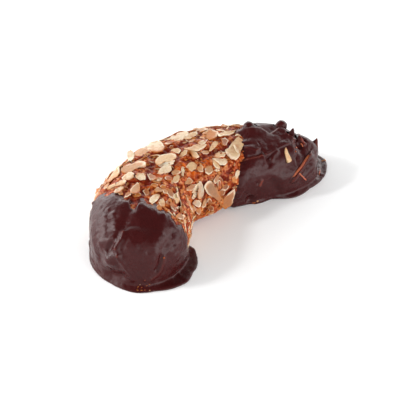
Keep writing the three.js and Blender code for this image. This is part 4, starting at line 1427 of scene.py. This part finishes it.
def dipEnd(name, dip, material):
    heap = Heap()
    core = coatCore(dip)
    heap.add(*core)
    tree = treeOf(*core)
    for lump in standing[name]:
        foot = rayHit(tree, lump["foot"])[0]
        if "ball" in lump:
            heap.add(*ballBody(planeHits([lump["ball"]], foot, camBack)[0], lump["radius"]))
        else:
            rim = planeHits(lump["outline"], foot, camBack)
            heap.add(*flakeBody(draw, rim, np.array(camBack), coat["standThickness"])[:2])
    for k in range(coat["covered"]):
        place, normal = coveredPlace(dip)
        if isSeen(place, normal) or normal.dot(camBack) > coat["turnedAway"]:
            continue
        length = draw.uniform(*coat["coveredLength"])
        width = length * draw.uniform(*scatter["width"])
        lifted = place + normal * (coat["thickness"] - coat["coveredDepth"])
        heap.add(*looseFlake(lifted, normal, length, width, coat["coveredThickness"], scatter["corners"],
                             coat["coveredTilt"])[:2])
    rough = heap.piece("dip", material)
    remesh = rough.modifiers.new("flow", "REMESH")
    remesh.mode = "VOXEL"
    remesh.voxel_size = coat["voxel"] * mm
    mesh = bpy.data.meshes.new_from_object(rough.evaluated_get(bpy.context.evaluated_depsgraph_get()))
    bpy.data.objects.remove(rough)
    mesh.name = name + "_coat"
    mean = neighbourMean(mesh)
    points = readPoints(mesh)
    for step in range(coat["smoothing"][0]):
        points = lerp(points, mean(points), coat["smoothing"][1])
    writePoints(mesh, points)
    normals = readNormals(mesh)
    lift, red = sculpt(points, meshTree(mesh, points), strokes[name])
    proud = np.array([tree.find_nearest(Vector(point))[3] for point in points])
    lift *= 1 - ease(proud, *coat["standClear"])  # what stands up in the coat keeps its shape
    lift += coat["lumps"][1] * bumps(points, coat["lumps"][0], dip["seed"])
    lift += coat["knobs"][1] * bumps(points, coat["knobs"][0], dip["seed"] + 2)
    lift += coat["pimples"][1] * bumps(points, coat["pimples"][0], 3)
    points += normals * (lift * ease(points[:, 2], 0, 2))[:, None]  # the sole stays flat
    points = lerp(points, mean(points), coat["lastSmoothing"])
    points[:, 2] = np.maximum(points[:, 2], 0)
    writePoints(mesh, points)
    crest = np.einsum("ij,ij->i", points - mean(points), readNormals(mesh))
    for step in range(coat["crestSmoothing"][0]):
        crest = lerp(crest, mean(crest[:, None])[:, 0], coat["crestSmoothing"][1])
    low, high, most = coat["thinCrest"]
    paint(mesh, "thin", np.clip(np.maximum(red, most * ease(crest, low, high)), 0, 1))
    mesh.polygons.foreach_set("use_smooth", [True] * len(mesh.polygons))
    piece = bpy.data.objects.new(name + "_coat", mesh)
    bpy.context.scene.collection.objects.link(piece)
    print(name, "coat:", len(mesh.polygons), "faces")
    return piece


chocolate = chocolateMaterial()
coats = {name: dipEnd(name, dip, chocolate) for name, dip in dips.items()}


# almonds that break through the chocolate

bare = {
    "name": "bare_almonds",
    "thickness": 0.5,  # of the slivers
    "flakeThickness": 1.0,
    "flakes": {
        "chocolate_slim_end": [
            {"tone": "cream", "lift": 0,
             "outline": [(285.6, 147.6), (286.6, 150), (288, 153.5), (289.8, 157), (291.5, 160.5),
                         (290, 162.2), (287.8, 163), (286.3, 159), (285.3, 155), (285, 151)]},
        ],
        "chocolate_blunt_end": [],
    },
    "slivers": {
        "chocolate_slim_end": [
            {"wide": 3.0, "tone": "rust",
             "line": [(309, 154.5), (306, 159.5), (302, 165.5), (298, 170.5), (292, 178)]},
            {"wide": 1.9, "tone": "caramel", "line": [(309, 155), (307.5, 157.5), (306, 160)]},
            {"wide": 1.5, "tone": "rust", "line": [(299, 173), (303, 177), (306.5, 180.5)]},
            {"wide": 1.3, "tone": "rust", "line": [(300.5, 143), (302, 145), (303, 147)]},
            {"wide": 1.5, "tone": "rust", "line": [(295.5, 147.5), (296.3, 147.5), (297, 147.8)]},
            {"wide": 1.1, "tone": "rust", "line": [(295.3, 150.5), (295.6, 151.5), (295.8, 152.5)]},
            {"wide": 1.2, "tone": "rust", "line": [(320, 169.5), (319.6, 172), (319, 175)]},
            {"wide": 1.6, "tone": "honey", "line": [(325.5, 158.3), (327, 158), (328, 158)]},
            {"wide": 1.3, "tone": "caramel", "line": [(252, 203), (254, 203), (255.5, 202.5)]},
            {"wide": 1.5, "tone": "blush", "line": [(256.5, 201.8), (257.5, 201.2), (258.5, 200.5)]},
        ],
        "chocolate_blunt_end": [
            {"wide": 1.5, "tone": "caramel", "line": [(163, 257.8), (164, 257.8), (165, 258)]},
            {"wide": 0.5, "tone": "honey", "line": [(137.5, 287.5), (138.5, 286.3)]},
            {"wide": 0.5, "tone": "blush", "line": [(139.5, 285.2), (140.5, 284)]},
            {"wide": 0.45, "tone": "honey", "line": [(136.5, 290), (138.5, 290.3)]},
            {"wide": 0.45, "tone": "honey", "line": [(140.5, 290.4), (142.5, 290.2)]},
            {"wide": 0.45, "tone": "caramel", "line": [(144, 290.2), (146, 290)]},
            {"wide": 0.45, "tone": "caramel", "line": [(146, 286), (147.5, 285.3)]},
            {"wide": 0.5, "tone": "honey", "line": [(149, 284.6), (150, 284)]},
            {"wide": 0.6, "tone": "blush", "line": [(149, 290.2), (150.5, 290.5)]},
            {"wide": 0.45, "tone": "caramel", "line": [(141, 288), (142.5, 287)]},
            {"wide": 0.45, "tone": "caramel", "line": [(144.5, 281), (145.3, 279.8)]},
        ],
    },
}

bareHeap = Heap()
for name, piece in coats.items():
    tree = meshTree(piece.data, readPoints(piece.data))
    for flake in bare["flakes"][name]:
        middle, face = flakePlane(draw, tree, flake)
        rim = planeHits(flake["outline"], middle, face)
        points, faces, edge = flakeBody(draw, rim, np.array(face), bare["flakeThickness"])
        bareHeap.add(points, faces, np.tile(linear(tones[flake["tone"]]), (len(points), 1)))
    for sliver in bare["slivers"][name]:
        points, faces = stripBody(tree, sliver["line"], sliver["wide"], bare["thickness"])
        bareHeap.add(points, faces, np.tile(linear(tones[sliver["tone"]]), (len(points), 1)))
barePiece = bareHeap.piece(bare["name"], almondFinish)
print("bare almonds:", len(barePiece.data.polygons), "faces")


# floor and light

studio = {
    "floor": "fbfbfb",
    "floorDrop": 0.05,  # mm under the soles
    "floorSize": 4.0,  # metres
    "tent": {"sides": 4.0, "top": 0.2, "low": 0.15, "high": 0.75},  # light, heights where it fades
    "front": 0.45,  # share of it on the camera's side, where the tent is open
    "opening": (-0.95, -0.3),  # cosines from the way ahead, between which it closes
    "key": {"power": 3.0, "size": 0.13, "place": (-0.75, -0.1, 0.6)},  # metres to the right, away and up
    "panel": {"power": 5.0, "size": 0.5, "place": (-0.9, 0.05, 0.3)},
    "fill": {"power": 5.5, "size": 0.8, "place": (0.7, -0.7, 0.35)},
}


def floorMaterial():
    # matt white paper sweep: no gloss, a touch of tooth that only shows close by
    material, tree, shader = startMaterial("paper, matt white")
    place = addNode(tree, "ShaderNodeTexCoord").outputs["Object"]
    tooth = addNode(tree, "ShaderNodeTexNoise", {"Vector": place, "Scale": 1 / (2.0 * mm)})
    bump = addNode(tree, "ShaderNodeBump",
                   {"Height": tooth.outputs["Fac"], "Strength": 0.02, "Distance": 0.1 * mm})
    tree.links.new(bump.outputs["Normal"], shader.inputs["Normal"])
    shader.inputs["Base Color"].default_value = linear(studio["floor"])
    shader.inputs["Roughness"].default_value = 0.9
    shader.inputs["Specular IOR Level"].default_value = 0.1
    return material


half = studio["floorSize"] / 2 / mm
floorPoints = [(x * half, y * half, -studio["floorDrop"]) for x, y in ((-1, -1), (1, -1), (1, 1), (-1, 1))]
floor = makePiece("floor", floorPoints, [[0, 1, 2, 3]], floorMaterial())

world = bpy.data.worlds.new("light tent")
bpy.context.scene.world = world
world.use_nodes = True
sky = world.node_tree
way = addNode(sky, "ShaderNodeTexCoord").outputs["Generated"]
height = addNode(sky, "ShaderNodeSeparateXYZ", {"Vector": way}).outputs["Z"]
wall = studio["tent"]
glow = addNode(sky, "ShaderNodeMapRange",
               {"Value": height, "From Min": wall["low"], "From Max": wall["high"],
                "To Min": wall["sides"], "To Max": wall["top"]}, interpolation_type="SMOOTHSTEP")
sky.nodes["Background"].inputs["Color"].default_value = (1, 1, 1, 1)
away = Vector((-camBack.x, -camBack.y, 0)).normalized()
ahead = addNode(sky, "ShaderNodeVectorMath", {0: way, 1: away}, operation="DOT_PRODUCT").outputs["Value"]
front = addNode(sky, "ShaderNodeMapRange",
                {"Value": ahead, "From Min": studio["opening"][0], "From Max": studio["opening"][1],
                 "To Min": studio["front"]}, interpolation_type="SMOOTHSTEP")
tent = addNode(sky, "ShaderNodeMath", {0: glow.outputs[0], 1: front.outputs[0]}, operation="MULTIPLY")
sky.links.new(tent.outputs[0], sky.nodes["Background"].inputs["Strength"])

for name in ("key", "panel", "fill"):
    lightData = bpy.data.lights.new(name, "AREA")
    lightData.energy = studio[name]["power"]
    lightData.size = studio[name]["size"]
    light = bpy.data.objects.new(name, lightData)
    right, back, up = studio[name]["place"]
    light.location = camRight * right + away * back + Vector((0, 0, up))
    light.rotation_mode = "QUATERNION"
    light.rotation_quaternion = (-light.location).to_track_quat("-Z", "Y")
    bpy.context.scene.collection.objects.link(light)
bpy.context.scene.view_settings.view_transform = "Standard"
print("studio set")


# every piece on its body

for piece in (pastePiece, flakePiece, shardPiece, barePiece):
    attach(piece, "root")
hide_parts("almond_crescent")
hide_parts("almond_crescent")
for name, piece in coats.items():
    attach(piece, "root")
    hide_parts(name)
